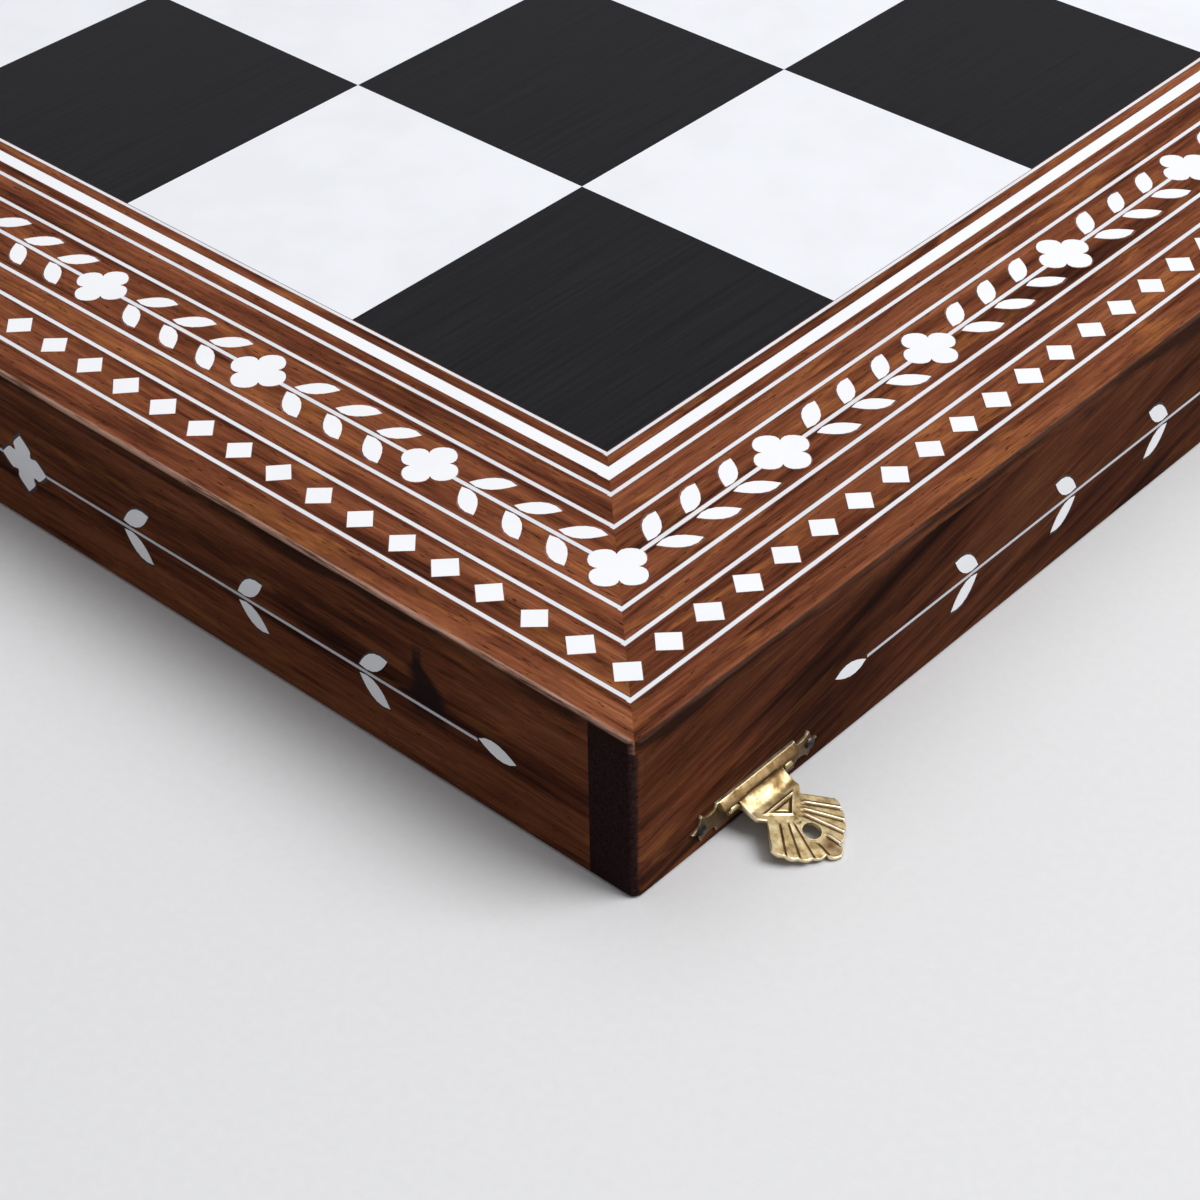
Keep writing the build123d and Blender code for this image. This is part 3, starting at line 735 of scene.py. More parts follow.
def pairs_along(run, places):
    """The middles of the leaf pairs between flowers, on one half's share of a side."""
    middles = []
    step = abs(places[1] - places[0])
    toward = 1 if places[1] > places[0] else -1
    pair_pitch = (step - 2 * flower_reach - leaf_gap) / leaf_pairs
    for place in places[:-1] if run == "long" else places:
        for pair in range(leaf_pairs):
            middle = place + toward * (step / 2 + (pair - (leaf_pairs - 1) / 2) * pair_pitch) + leaf_lead
            if run == "long" or abs(half - middle) > fold_margin and (half - middle) * (half - place) > 0:
                middles.append(middle)
    return middles


for name, side in halves.items():
    flowers = bmesh.new()
    leaf_form = bmesh.new()
    stems = bmesh.new()
    for index, run in enumerate(runs):
        places = places_along(run, side, vine_centre, flower_pitch)
        spots = spots_along(run, side, places if run == "long" else places[1:], vine_centre)
        sow(flowers, flower, spots, 31 + index, (1.045, 1.045), radians(3), 0.02)
        middles = pairs_along(run, places)
        for row, leaf in enumerate(leaves):
            spots = spots_along(run, side, middles, vine_centre)
            sow(leaf_form, leaf, spots, 41 + 2 * index + row, (1.06, 1.08), radians(2.5), 0.035)
        strip(stems, run, side, vine_centre, line_width)
    half_piece(name, "flowers", flowers, "white_inlay", [pure_white, lac])
    half_piece(name, "leaves", leaf_form, "white_inlay", [pure_white, lac])
    half_piece(name, "border_stem", stems, "white_inlay", [line_white, lac], "vine_stems")


# The vines on the trays' outer faces: a pointed flower, and a stem that runs from it both ways
# with pairs of leaves to a bud. They are bedded in dark lac, which has run into the saw cuts.
side_vine_heights = {"long": 11.0 * mm, "front": 11.6 * mm, "back": 11.5 * mm}
side_pair_pitch = 23.7 * mm
side_flower_reach = 5.0 * mm
side_petal_root = Vector((2.42, 1.75)) * mm
side_notch = 1.72 * mm
side_stem_width = 0.5 * mm
bud_length = 6.7 * mm
bud_tilt = radians(-6)
bud_slim = 0.87
bud_gap = 0.2 * mm
end_flower = 118.2 * mm
end_vine = (22.2 * mm, 3, 25.2 * mm)
side_vines = {"long": (28.75 * mm, 7, 28.3 * mm), "front": end_vine, "back": end_vine}


def dark_filler(name):
    """Nearly black lac round the inlays of the outer faces."""
    material, tree, shader, place = new_material(name, Roughness=0.45, Specular_IOR_Level=0.2)
    spots = stretched_noise(tree, place, (0.003, 0.003, 0.003), 3, 0.6)
    paint(tree, shader, ramp(tree, spots, [(0.35, (0.010, 0.006, 0.005)), (0.7, (0.040, 0.017, 0.011))]))
    return material


def face_matrix(run, side):
    """An outer face: X along it, Y up and Z outwards, from the middle of its flower."""
    if run == "long":
        along, outward, place = (0, side, 0), (side, 0, 0), (side * half, 0, side_vine_heights[run])
    else:
        end = 1 if run == "back" else -1
        along, outward = (-end, 0, 0), (0, end, 0)
        place = (side * (half - end_flower), end * half, side_vine_heights[run])
    return place_with_axes(along, (0, 0, 1), outward, place)


black_lac = dark_filler("dark_lac_filler")
stem_white = white_inlay("side_stem_resin", (0.60, 0.60, 0.64), 0.9)
petal_tip = Vector((side_flower_reach, 0))
petal_shoulder = Vector((2.95, 2.35)) * mm
half_petal = bow(petal_tip, petal_tip + Vector((-1.1, 1.1)) * mm, petal_shoulder, side_petal_root, 7)
half_petal.append(side_petal_root)
pointed_flower = cut_piece("pointed_flower_pattern", four_petals(half_petal, side_notch))
bud_end = Vector((bud_length / 2, 0))
bud = cut_piece("bud_pattern", [(x, bud_slim * y) for x, y in leaf_outline(-1, bud_end, -bud_end)])
for name, side in halves.items():
    form = bmesh.new()
    stems = bmesh.new()
    for index, (run, (first_pair, pair_count, bud_step)) in enumerate(side_vines.items()):
        face = face_matrix(run, side)
        pairs = [first_pair + pair * side_pair_pitch for pair in range(pair_count)]
        bud_place = pairs[-1] + bud_step
        sow(form, pointed_flower, [face], 61 + index, (1.14, 1.14), radians(2), 0.01, black_lac)
        for way in (0, pi):
            outwards = face @ Matrix.Rotation(way, 4, "Z")
            seed = 71 + 4 * index + round(way)
            bud_spot = outwards @ Matrix.Translation((bud_place, 0, 0)) @ Matrix.Rotation(bud_tilt, 4, "Z")
            sow(form, bud, [bud_spot], seed, (1.05, 1.1), 0.03, 0.02, black_lac)
            spots = [outwards @ Matrix.Translation((place - leaf_base.x, 0, 0)) for place in pairs]
            for leaf in leaves:
                sow(form, leaf, spots, seed + 1, (1.06, 1.10), radians(3), 0.03, black_lac)
            reach = bud_place - bud_length / 2 - bud_gap
            for width, rise, slot_index in line_and_bed(side_stem_width):
                plan = rectangle(side_flower_reach, reach, -width / 2, width / 2)
                add_bar(stems, plan, -line_sink, rise, slot_index, outwards)
    half_piece(name, "side_vines", form, "white_inlay", [pure_white, black_lac])
    place_piece(f"{name}_side_stems", stems, f"{name}_half", "white_inlay", [stem_white, black_lac])


# The trays' floors: a plywood panel glued between the walls carries the squares, and its
# underside, the inside of the closed box, is lined with green felt glued down flat.
def plywood(name):
    """Birch plywood: pale veneer with a faint grain, and its plies at the edges."""
    material, tree, shader, place = new_material(name, Roughness=0.6)
    grain = stretched_noise(tree, place, (0.0012, 0.05, 0.0012), 4, 0.6)
    face = ramp(tree, grain, [(0.3, (0.42, 0.27, 0.14)), (0.7, (0.60, 0.43, 0.25))])
    plies = add(tree, "ShaderNodeTexWave", {"Vector": place, "Scale": 220.0, "Distortion": 0.6},
                bands_direction="Z").outputs[1]
    paint(tree, shader, blend(tree, fade(tree, plies, 0.4, 0.8, 0, 0.4), face, (0.25, 0.14, 0.07, 1)))
    return material


def felt(name):
    """Green wool felt with a short uneven nap."""
    material, tree, shader, place = new_material(name, Roughness=0.95, Specular_IOR_Level=0.1,
                                                 Sheen_Weight=0.35)
    nap = stretched_noise(tree, place, (0.0011, 0.0011, 0.0011), 4, 0.7)
    clouds = stretched_noise(tree, place, (0.035, 0.035, 0.035), 2)
    colour = ramp(tree, nap, [(0.3, (0.012, 0.055, 0.026)), (0.7, (0.030, 0.115, 0.055))])
    colour = blend(tree, fade(tree, clouds, 0.35, 0.7, 0, 0.3), colour, (0.045, 0.14, 0.07, 1))
    paint(tree, shader, colour, None, nap, 0.8, 0.25 * mm)
    return material


felt_cell = 4 * mm
felt_ripple = 0.06 * mm
felt_wave = 9 * mm
birch_ply = plywood("birch_plywood")
green_felt = felt("green_felt")
for name in halves:
    dress(f"{name}_half_panel", birch_ply)
    low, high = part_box(f"{name}_half_lining")
    size = high - low
    form = bmesh.new()
    columns, rows = [round(length / felt_cell) for length in size.xy]
    bmesh.ops.create_grid(form, x_segments=columns, y_segments=rows, size=0.5)
    bmesh.ops.scale(form, vec=(size.x, size.y, 1), verts=form.verts)
    bmesh.ops.translate(form, vec=((low.x + high.x) / 2, (low.y + high.y) / 2, low.z), verts=form.verts)
    for point in form.verts:
        point.co.z += felt_ripple * (1 + noise.noise(point.co / felt_wave))
    raised = bmesh.ops.extrude_face_region(form, geom=form.faces[:])
    for point in raised["geom"]:
        if isinstance(point, bmesh.types.BMVert):
            point.co.z = high.z
    bmesh.ops.recalc_face_normals(form, faces=form.faces)
    lining = half_piece(name, "lining", form, "lining_felt", [green_felt])


# The butt hinges at the fold: stamped brass leaves let into the rims, rolled into knuckles
# round a pin, and held by countersunk slotted screws.
hinge_places = (-150 * mm, 150 * mm)
hinge_length = 32 * mm
hinge_knuckles = 3
knuckle_gap = 0.2 * mm
barrel_radius = 1.2 * mm
leaf_edge = 6.6 * mm
leaf_corner = 1.0 * mm
leaf_thickness = 0.7 * mm
screw_spacing = 20 * mm
screw_offset = 4 * mm
screw_head_radius = 1.5 * mm
screw_shank_radius = 0.75 * mm
screw_length = 9 * mm
screw_slot = 0.35 * mm
screw_clearance = 0.04 * mm
screw_rim = 0.08 * mm
screw_tip = 0.1 * mm
hinge_height = -0.1 * mm
barrel_ease = 0.15 * mm
slot_depth = 0.3 * mm
around = 32
# Brass colours: polish with a painted highlight, tarnishing with painted shade, and grimy deposits with
# painted shade.
polish_and_highlight_colour = (0.88, 0.78, 0.58, 1)
tarnish_and_shade_colour = (0.115, 0.072, 0.028, 1)
dirt_and_shade_colour = (0.075, 0.030, 0.012, 1)


def brass(name, dark, middle, bright, grime_and_shade=1.0):
    """Old pressed brass, mottled: bright where its tone is high, from polish and a painted highlight, darker
    where it is low, from tarnishing and painted shade, and brown in its corners and grooves, from grimy
    deposits and painted shade.
    """
    material, tree, shader, place = new_material(name, Metallic=1.0)
    mottle = stretched_noise(tree, place, (0.0019, 0.0019, 0.0019), 5, 0.68)
    colour = ramp(tree, mottle, [(0.30, dark), (0.46, middle), (0.66, bright)])
    polish_and_light_tone = add(tree, "ShaderNodeAttribute", attribute_name="relief").outputs["Fac"]
    # The relief attribute holds a tone, not a height: high tone gets polish with a painted highlight, low
    # tone gets tarnished brass with painted shade.
    colour = blend(tree, fade(tree, polish_and_light_tone, 0.2, 0.9, 0, 0.75), colour, polish_and_highlight_colour)
    colour = blend(tree, fade(tree, polish_and_light_tone, -0.02, -0.42, 0, 0.68), colour, tarnish_and_shade_colour)
    # Painted shade with grimy deposits: brown in the low-tone grooves and where the surface is closed in, as
    # the occlusion measures it.
    low_tone_dirt_and_shade = fade(tree, polish_and_light_tone, -0.25, -0.85, 0, 0.92)
    open_round = add(tree, "ShaderNodeAmbientOcclusion", {"Distance": 0.9 * mm}, samples=8).outputs["AO"]
    closed_in_dirt_and_shade = fade(tree, open_round, 0.75, 0.30, 0, 0.85 * grime_and_shade)
    dirt_and_shade_amount = math(tree, "MAXIMUM", low_tone_dirt_and_shade, closed_in_dirt_and_shade)
    colour = blend(tree, dirt_and_shade_amount, colour, dirt_and_shade_colour)
    rough = plus(tree, fade(tree, mottle, 0.3, 0.7, 0.46, 0.26), times(tree, dirt_and_shade_amount, 0.3))
    scratches = stretched_noise(tree, place, (0.0035, 0.00035, 0.0035), 3, 0.6)
    height = plus(tree, times(tree, mottle, 0.6), times(tree, scratches, 0.4))
    paint(tree, shader, colour, rough, height, 0.5, 0.09 * mm)
    return material


def rod(radius, start, end, x=0.0, z=0.0, ease=0.0):
    """A round bar along Y between two places, with its end edges eased."""
    form = bmesh.new()
    turn = Matrix.Translation((x, (start + end) / 2, z)) @ Matrix.Rotation(pi / 2, 4, "X")
    bmesh.ops.create_cone(form, cap_ends=True, segments=around, radius1=radius, radius2=radius,
                          depth=abs(end - start), matrix=turn)
    if ease:
        rims = [edge for edge in form.edges if len(edge.link_faces) == 2
                and abs(edge.verts[0].co.y - edge.verts[1].co.y) < radius / 100]
        bmesh.ops.bevel(form, geom=rims, offset=ease, segments=3, profile=0.5, affect="EDGES")
    return form


def combine(form, other, operation):
    """Adds, cuts or keeps the common part of two closed forms."""
    parts = [stand("part", mesh_of("part", each)) for each in (form, other)]
    modifier = parts[0].modifiers.new("combine", "BOOLEAN")
    modifier.operation = operation
    modifier.object = parts[1]
    modifier.solver = "EXACT"
    result = with_modifiers(parts[0])
    joined = bmesh.new()
    joined.from_mesh(result)
    bmesh.ops.remove_doubles(joined, verts=joined.verts, dist=mm / 2000)
    for made in parts:
        discard(made)
    bpy.data.meshes.remove(result)
    return joined


def smooth_over(piece, angle):
    """Shades a piece smooth, apart from the edges that turn by more than an angle."""
    piece.data.shade_smooth()
    piece.data.set_sharp_from_angle(angle=radians(angle))


def skin(form, rings):
    """Closes a row of rings into a solid."""
    count = len(rings[0])
    for low, high in zip(rings, rings[1:]):
        for index in range(count):
            far = (index + 1) % count
            form.faces.new((low[index], low[far], high[far], high[index]))
    form.faces.new(rings[0])
    form.faces.new(rings[-1])
    bmesh.ops.recalc_face_normals(form, faces=form.faces)


def spin_profile(form, profile):
    """Turns a profile of radius and height about Z into a closed form."""
    angles = [2 * pi * step / around for step in range(around)]
    skin(form, [[form.verts.new((radius * cos(angle), radius * sin(angle), height)) for angle in angles]
                for radius, height in profile])


def screw_form():
    """A countersunk screw, its slotted head down and flush with the rim's plane."""
    form = bmesh.new()
    spin_profile(form, [
        (screw_head_radius, 0), (screw_head_radius, screw_rim), (screw_shank_radius, leaf_thickness),
        (screw_shank_radius, screw_length * 0.8), (screw_tip, screw_length),
    ])
    slot = prism(rectangle(-2 * mm, 2 * mm, -screw_slot / 2, screw_slot / 2), -mm, slot_depth)
    return combine(form, slot, "DIFFERENCE")


old_brass = brass("pressed_brass", (0.11, 0.065, 0.028), (0.34, 0.245, 0.115), (0.60, 0.49, 0.29))
hinge_brass = brass("hinge_brass", (0.26, 0.17, 0.07), (0.46, 0.34, 0.16), (0.66, 0.53, 0.30), 0.6)
knuckle_pitch = (hinge_length + knuckle_gap) / hinge_knuckles
knuckle_bite = 1.3 * barrel_radius
sink_radius = screw_head_radius + screw_clearance
shank_room = screw_shank_radius + screw_clearance
for name, side in halves.items():
    form = bmesh.new()
    screws = bmesh.new()
    for place in hinge_places:
        low_y, high_y = place - hinge_length / 2, place + hinge_length / 2
        leaf = prism(rectangle(side * barrel_radius / 2, side * leaf_edge, low_y, high_y), 0, leaf_thickness)
        round_over(leaf, lambda p, run: abs(run.z) > 0.9 and side * p.x > leaf_edge / 2, leaf_corner)
        for index in range(hinge_knuckles):
            start = low_y + index * knuckle_pitch
            if index % 2 == (0 if side > 0 else 1):
                end = start + knuckle_pitch - knuckle_gap
                leaf = combine(leaf, rod(barrel_radius, start, end, 0, hinge_height, barrel_ease), "UNION")
            else:
                bite = rectangle(-knuckle_bite, knuckle_bite, start - knuckle_gap, start + knuckle_pitch)
                leaf = combine(leaf, prism(bite, -5 * mm, 5 * mm), "DIFFERENCE")
        for row in (-1, 1):
            spot = Matrix.Translation((side * screw_offset, place + row * screw_spacing / 2, 0))
            sink = bmesh.new()
            spin_profile(sink, [(sink_radius, -mm), (sink_radius, 0.1 * mm), (shank_room, leaf_thickness),
                                (shank_room, 2 * mm)])
            sink.transform(spot)
            leaf = combine(leaf, sink, "DIFFERENCE")
            screw = screw_form()
            screw.transform(spot @ Matrix.Rotation(radians(25 + 40 * row), 4, "Z"))
            add_to(screws, screw)
        add_to(form, leaf)
    for part, made, solid in (("plates", form, "leaves"), ("screw_heads", screws, "screws")):
        smooth_over(place_piece(f"{name}_hinge_{part}", made, f"{name}_half", "brass", [hinge_brass],
                                f"{name}_hinge_{solid}"), 35)
for node in ("hinge_pins", "clasp_pins"):
    dress(node, hinge_brass)


# The clasps' plates: thin pressed brass with scrolled ends, a hood that slopes out over the
# pin and a small ear at each end of it, nailed to the long wall with two steel nails each.
clasp_inset = 23.1 * mm
clasp_places = (clasp_inset - half, half - clasp_inset)
clasp_height = 4.2 * mm
clasp_pin = 1.0 * mm
plate_thickness = 0.45 * mm
plate_half_height = 2.3 * mm
scroll_start = Vector((7.9, 2.3)) * mm
scroll_dip = Vector((8.9, 1.3)) * mm
scroll_horn = Vector((10.75, 2.15)) * mm
scroll_waist = Vector((11.25, 0.85)) * mm
scroll_point = Vector((12.7, 0)) * mm
hood_half_length = 7.75 * mm
hood_lip = 1.4 * mm
hood_lip_height = 1.15 * mm
hood_wall = 0.3 * mm
hood_root = 0.1 * mm
hood_arch = 0.34 * mm
hood_arch_below = 1.3 * mm
hood_stations = (0, 0.1, 0.25, 0.4, 0.5, 0.7, 0.955, 1)
knuckle_radius = 0.8 * mm
window_clearance = 0.12 * mm
ear_radius = 0.6 * mm
ear_height = 0.3 * mm
ear_ease = 0.35 * mm
ear_place = 5.5 * mm
ear_length = 1.6 * mm
window = 4.6 * mm
nail_place = 11.0 * mm
nail_radius = 0.9 * mm
nail_length = 5.0 * mm


def scroll_outline():
    """The plate's outline: straight along the middle, and a dip, a horn and a point at each end."""
    drop = Vector((0, -0.55)) * mm
    quarter = [Vector((0, plate_half_height))]
    quarter += bow(scroll_start, scroll_start + drop, scroll_dip + Vector((-0.5, 0)) * mm, scroll_dip, 4)
    quarter += bow(scroll_dip, scroll_dip + Vector((0.8, 0)) * mm, scroll_horn + drop, scroll_horn, 4)
    quarter += bow(scroll_horn, scroll_horn + Vector((0.35, -0.1)) * mm, scroll_waist - drop, scroll_waist, 4)
    quarter += bow(scroll_waist, scroll_waist + drop, scroll_point + Vector((-0.6, 0.45)) * mm,
                   scroll_point, 4)
    right = quarter + [scroll_point] + [Vector((p.x, -p.y)) for p in reversed(quarter)]
    left = [Vector((-p.x, p.y)) for p in reversed(right[1:-1])]
    return [tuple(point) for point in right + left]


def on_wall(side, y, height):
    """Turns a plate's outline upright on a long wall: X out of it, Y along it, Z up."""
    return Matrix.Translation((side * half, y, height)) @ Matrix.Rotation(0 if side > 0 else pi, 4, "Z")


def upright_plate(thickness=plate_thickness):
    """The scrolled plate standing on the wall's plane, its front edge rounded."""
    form = prism(scroll_outline(), 0, thickness)
    round_over(form, lambda p, run: p.z > thickness * 0.9, 0.14 * mm, 2)
    form.transform(Matrix(((0, 0, 1, 0), (1, 0, 0, 0), (0, 1, 0, 0), (0, 0, 0, 1))))
    bmesh.ops.recalc_face_normals(form, faces=form.faces)
    return form


def hood_form():
    """The hood: a thin slope from the plate's top edge to a lip above the pin, closed at its ends."""
    section = [
        (hood_root, plate_half_height), (plate_thickness - 0.04 * mm, plate_half_height),
        (plate_thickness + 0.10 * mm, plate_half_height - 0.07 * mm),
        (hood_lip - 0.12 * mm, hood_lip_height + 0.28 * mm), (hood_lip, hood_lip_height + 0.1 * mm),
        (hood_lip, hood_lip_height - 0.18 * mm), (hood_lip - hood_wall, hood_lip_height - 0.22 * mm),
        (hood_root, hood_lip_height - 0.3 * mm),
    ]
    form = bmesh.new()
    rings = []
    for station in [-share for share in hood_stations[:0:-1]] + list(hood_stations):
        shrink = 0.35 if abs(station) == 1 else 1.0
        arch = hood_arch * max(0.0, 1 - (station / 0.5) ** 2)
        rings.append([
            form.verts.new((hood_root + (x - hood_root) * shrink, station * hood_half_length,
                            z + (arch if z < hood_arch_below else 0)))
            for x, z in section
        ])
    skin(form, rings)
    return form


def clasp_plate_form():
    """The plate with its hood and ears, and a window for the hasp's knuckle."""
    form = combine(upright_plate(), hood_form(), "UNION")
    for way in (-1, 1):
        ends = sorted((way * (ear_place - ear_length / 2), way * (ear_place + ear_length / 2)))
        form = combine(form, rod(ear_radius, *ends, clasp_pin, ear_height, ear_ease), "UNION")
    room = rod(knuckle_radius + window_clearance, -window, window, clasp_pin, 0)
    form = combine(form, room, "DIFFERENCE")
    # The relief layer holds the plate's tone for the brass: painted highlights with polish, painted shade
    # with tarnishing.
    relief = form.verts.layers.float.new("relief")
    for point in form.verts:
        point[relief] = plate_polish_and_light(*point.co)
    return form


def soft(value):
    """A soft step from 0 to 1."""
    value = min(1.0, max(0.0, value))
    return value * value * (3 - 2 * value)


def plate_polish_and_light(out, along, up):
    """How bright the plate is painted at a point: polish and painted highlights at its beads and top edge,
    darker on its faces and hood as painted shade and tarnishing.
    """
    if out > hood_lip - 0.1 * mm and up < 0.9 * mm:
        return -0.1
    if out > plate_thickness + 0.03 * mm:
        return -0.7 if up < hood_lip_height - 0.1 * mm else -0.50 - 0.12 * soft(along / hood_half_length)
    if out > plate_thickness - 0.03 * mm:
        return -0.6
    at = Vector((abs(along), abs(up)))
    beads = min((at - bead).length for bead in (scroll_start, scroll_horn, scroll_point))
    if up > -0.3 * mm and (beads < 0.5 * mm or abs(along) < scroll_start.x):
        return 0.9
    return -0.15


def nail_form():
    """A nail's low domed head, hammered a little uneven, and its shank in the wall."""
    form = bmesh.new()
    dome = 0.45 * mm
    profile = [(0.35 * mm, -nail_length + plate_thickness), (0.4 * mm, plate_thickness)]
    profile += [
        (nail_radius * cos(angle), plate_thickness + 0.02 * mm + dome * sin(angle))
        for angle in (0, pi / 10, pi / 5, 3 * pi / 10, 2 * pi / 5, 0.47 * pi)
    ]
    spin_profile(form, profile)
    for point in form.verts:
        if point.co.z > plate_thickness:
            point.co.z += 0.05 * mm * noise.noise(point.co / (0.6 * mm))
    form.transform(Matrix.Rotation(pi / 2, 4, "Y"))
    return form


def nail_steel(name):
    """Dull grey steel with brown rust at its edge."""
    material, tree, shader, place = new_material(name, Metallic=1.0)
    spots = stretched_noise(tree, place, (0.0012, 0.0012, 0.0012), 4, 0.65)
    colour = ramp(tree, spots, [
        (0.34, (0.011, 0.007, 0.006)), (0.5, (0.032, 0.027, 0.026)), (0.7, (0.09, 0.085, 0.088)),
    ])
    paint(tree, shader, colour, fade(tree, spots, 0.3, 0.7, 0.65, 0.42))
    return material


def copies(form, spots):
    """One mesh with the form at every spot."""
    made = bmesh.new()
    for spot in spots:
        each = form.copy()
        each.transform(spot)
        add_to(made, each)
    form.free()
    return made


steel = nail_steel("nail_steel")
spots = [on_wall(1, y, clasp_height) for y in clasp_places]
smooth_over(place_piece("clasp_fronts", copies(clasp_plate_form(), spots), "clasp_half", "brass", [old_brass],
                        "clasp_plates"), 35)


def nails(name, side, height, node):
    """The four nails of a long wall's two plates."""
    rows = [y + way * nail_place for y in clasp_places for way in (-1, 1)]
    body = "clasp_half" if side > 0 else "catch_half"
    spots = [on_wall(side, y, height) for y in rows]
    smooth_over(place_piece(name, copies(nail_form(), spots), body, "steel", [steel], node), 40)


nails("clasp_nails", 1, clasp_height, "clasp_tacks")


# The hasps: sheet brass struck in a die into a tongue rolled round the pin, a little raised
# badge and a shell shaped fan with flutes, a scalloped edge and a hole that drops over a stud.
hasp_slope = radians(15.915)
hasp_thickness = 0.6 * mm
tongue_half_width = 4.4 * mm
tongue_length = 3.3 * mm
waist = (4.2 * mm, 3.5 * mm)
fan_centre = 4.9 * mm
fan_radius = 8.0 * mm
fan_taper = 0.25 * mm
fan_lobe = 0.22 * mm
first_flute = 9.5
flute_step = 14.6
flute_count = 5
flute_starts = ((10.25, 0.95), (6.1, 0.95), (5.6, 1.4), (4.95, 2.25))
fan_end = 14.15 * mm
badge_start = 3.4 * mm
badge_length = 2.25 * mm
badge_half_width = 2.7 * mm
hole_place = 9.05 * mm
hole_radius = 1.29 * mm
badge_rise = 0.13 * mm
badge_cut = 0.14 * mm
flute_rise = 0.15 * mm
dent_depth = 0.05 * mm
dent_size = 1.7 * mm
edge_rounding = 0.22 * mm
hasp_grid = 0.14 * mm
hasp_columns = 110


def on_fan(index, lobe=0.0):
    """A point of the fan's edge by its place among the flutes, counted from the tip."""
    angle = radians(first_flute + flute_step * index)
    radius = fan_radius - fan_taper * index + lobe
    return Vector((fan_centre + radius * cos(angle), radius * sin(angle)))


def hasp_edge():
    """One edge of the hasp from its pin to its tip, as closely spaced points."""
    corners = [Vector((0, tongue_half_width)), Vector((tongue_length - 0.2 * mm, tongue_half_width)),
               Vector((tongue_length + 0.1 * mm, tongue_half_width - 0.15 * mm)), Vector(waist)]
    last = flute_count - 1
    corners.append(on_fan(last + 0.05, -0.3 * mm))
    for index in range(last, 0, -1):
        for step in range(8):
            corners.append(on_fan(index - step / 8, fan_lobe * abs(sin(pi * step / 8))))
    valley = on_fan(0)
    tip = Vector((fan_end, 0))
    corners += bow(valley, valley + Vector((0.75, 0.1)) * mm, tip + Vector((-0.25, 0.9)) * mm, tip, 9) + [tip]
    points = [corners[0]]
    for start, end in zip(corners, corners[1:]):
        count = max(1, round((end - start).length / hasp_grid))
        points += [start.lerp(end, step / count) for step in range(1, count + 1)]
    return points


def badge_relief(x, y):
    """The badge: a raised triangle, with a groove just inside its edge."""
    depth = x - badge_start
    slant = badge_half_width / badge_length
    to_sides = (badge_half_width - slant * depth - abs(y)) / sqrt(1 + slant * slant)
    inside = min(depth, to_sides)
    ridge = max(0.0, 1 - abs(inside) / (0.22 * mm))
    groove = max(0.0, 1 - abs(inside - 0.36 * mm) / (0.22 * mm))
    return ridge, groove


def flute_relief(x, y):
    """The fan's flutes: a raised line with a groove on its inner side, the line mostly gone on the left from
    wear.
    """
    point = Vector((x, abs(y)))
    ridge, groove = 0.0, 0.0
    for index, start in enumerate(flute_starts):
        start = Vector(start) * mm
        run = on_fan(index) - start
        along = (point - start).dot(run) / run.length
        aside = run.normalized().cross(point - start)
        grown = soft(along / (1.1 * mm)) * soft((run.length + 0.3 * mm - along) / (0.3 * mm))
        ridge += grown * max(0.0, 1 - abs(aside - 0.12 * mm) / (0.34 * mm))
        groove += grown * max(0.0, 1 - abs(aside + 0.22 * mm) / (0.20 * mm))
    if y < 0:
        ridge *= 0.25
    return ridge, groove


def hasp_relief(x, y):
    """The height of the hasp's face over its sheet, and its tone: bright with polish and a painted highlight
    on its ridges and hole rim, dark with grimy deposits and painted shade in its grooves.
    """
    roll = (knuckle_radius - hasp_thickness / 2) * (1 - soft(x / (2.4 * mm)))
    badge_ridge, badge_groove = badge_relief(x, y)
    ridge, groove = flute_relief(x, y)
    dent = dent_depth * noise.noise(Vector((x, y, 0)) / dent_size)
    height = roll + dent + badge_rise * badge_ridge - badge_cut * badge_groove
    height += flute_rise * ridge - flute_rise * groove
    hole_rim = soft(1 - abs(sqrt((x - hole_place) ** 2 + y * y) - hole_radius) / (0.22 * mm))
    # Painted light in the tone: ridges, badge edges and hole rim get a painted highlight with polish, grooves
    # get painted shade with grimy deposits.
    tone = 0.7 * badge_ridge + ridge + 0.7 * hole_rim - 1.1 * groove - 1.0 * badge_groove
    return height, tone - tarnish_and_shade(x, y)


def tarnish_and_shade(x, y):
    """Where the hasp is painted darker: by the pin, beside the badge and round the hole where fingers have
    not kept it bright, and over the tongue's +Y side as painted shade.
    """
    blotch = 0.62 + 1.1 * noise.noise(Vector((x, y, 5 * mm)) / (1.1 * mm))
    speckle = 0.5 + 1.6 * noise.noise(Vector((x, y, 9 * mm)) / (0.35 * mm))
    darkening = 0.42 * soft(1 - x / (0.75 * mm))
    darkening += 0.30 * soft(1 - abs(x - 2.6 * mm) / (1.0 * mm)) * max(0.0, blotch + 0.3)
    # Painted shade: the tongue's +Y side made darker, away from the lamp's highlight.
    shaded_side = soft((y + 0.4 * mm) / (1.8 * mm))
    darkening += 0.28 * shaded_side * soft((3.2 * mm - x) / (1.2 * mm)) * max(0.0, blotch + 0.2)
    middle = soft(1 - abs(y) / (1.7 * mm))
    darkening += 0.62 * soft(1 - abs(x - 6.9 * mm) / (1.3 * mm)) * middle * max(0.0, speckle)
    darkening += 0.38 * soft((x - 10.6 * mm) / (0.8 * mm)) * soft(1 - abs(y) / (2.1 * mm)) * max(0.0, blotch + 0.4)
    return darkening


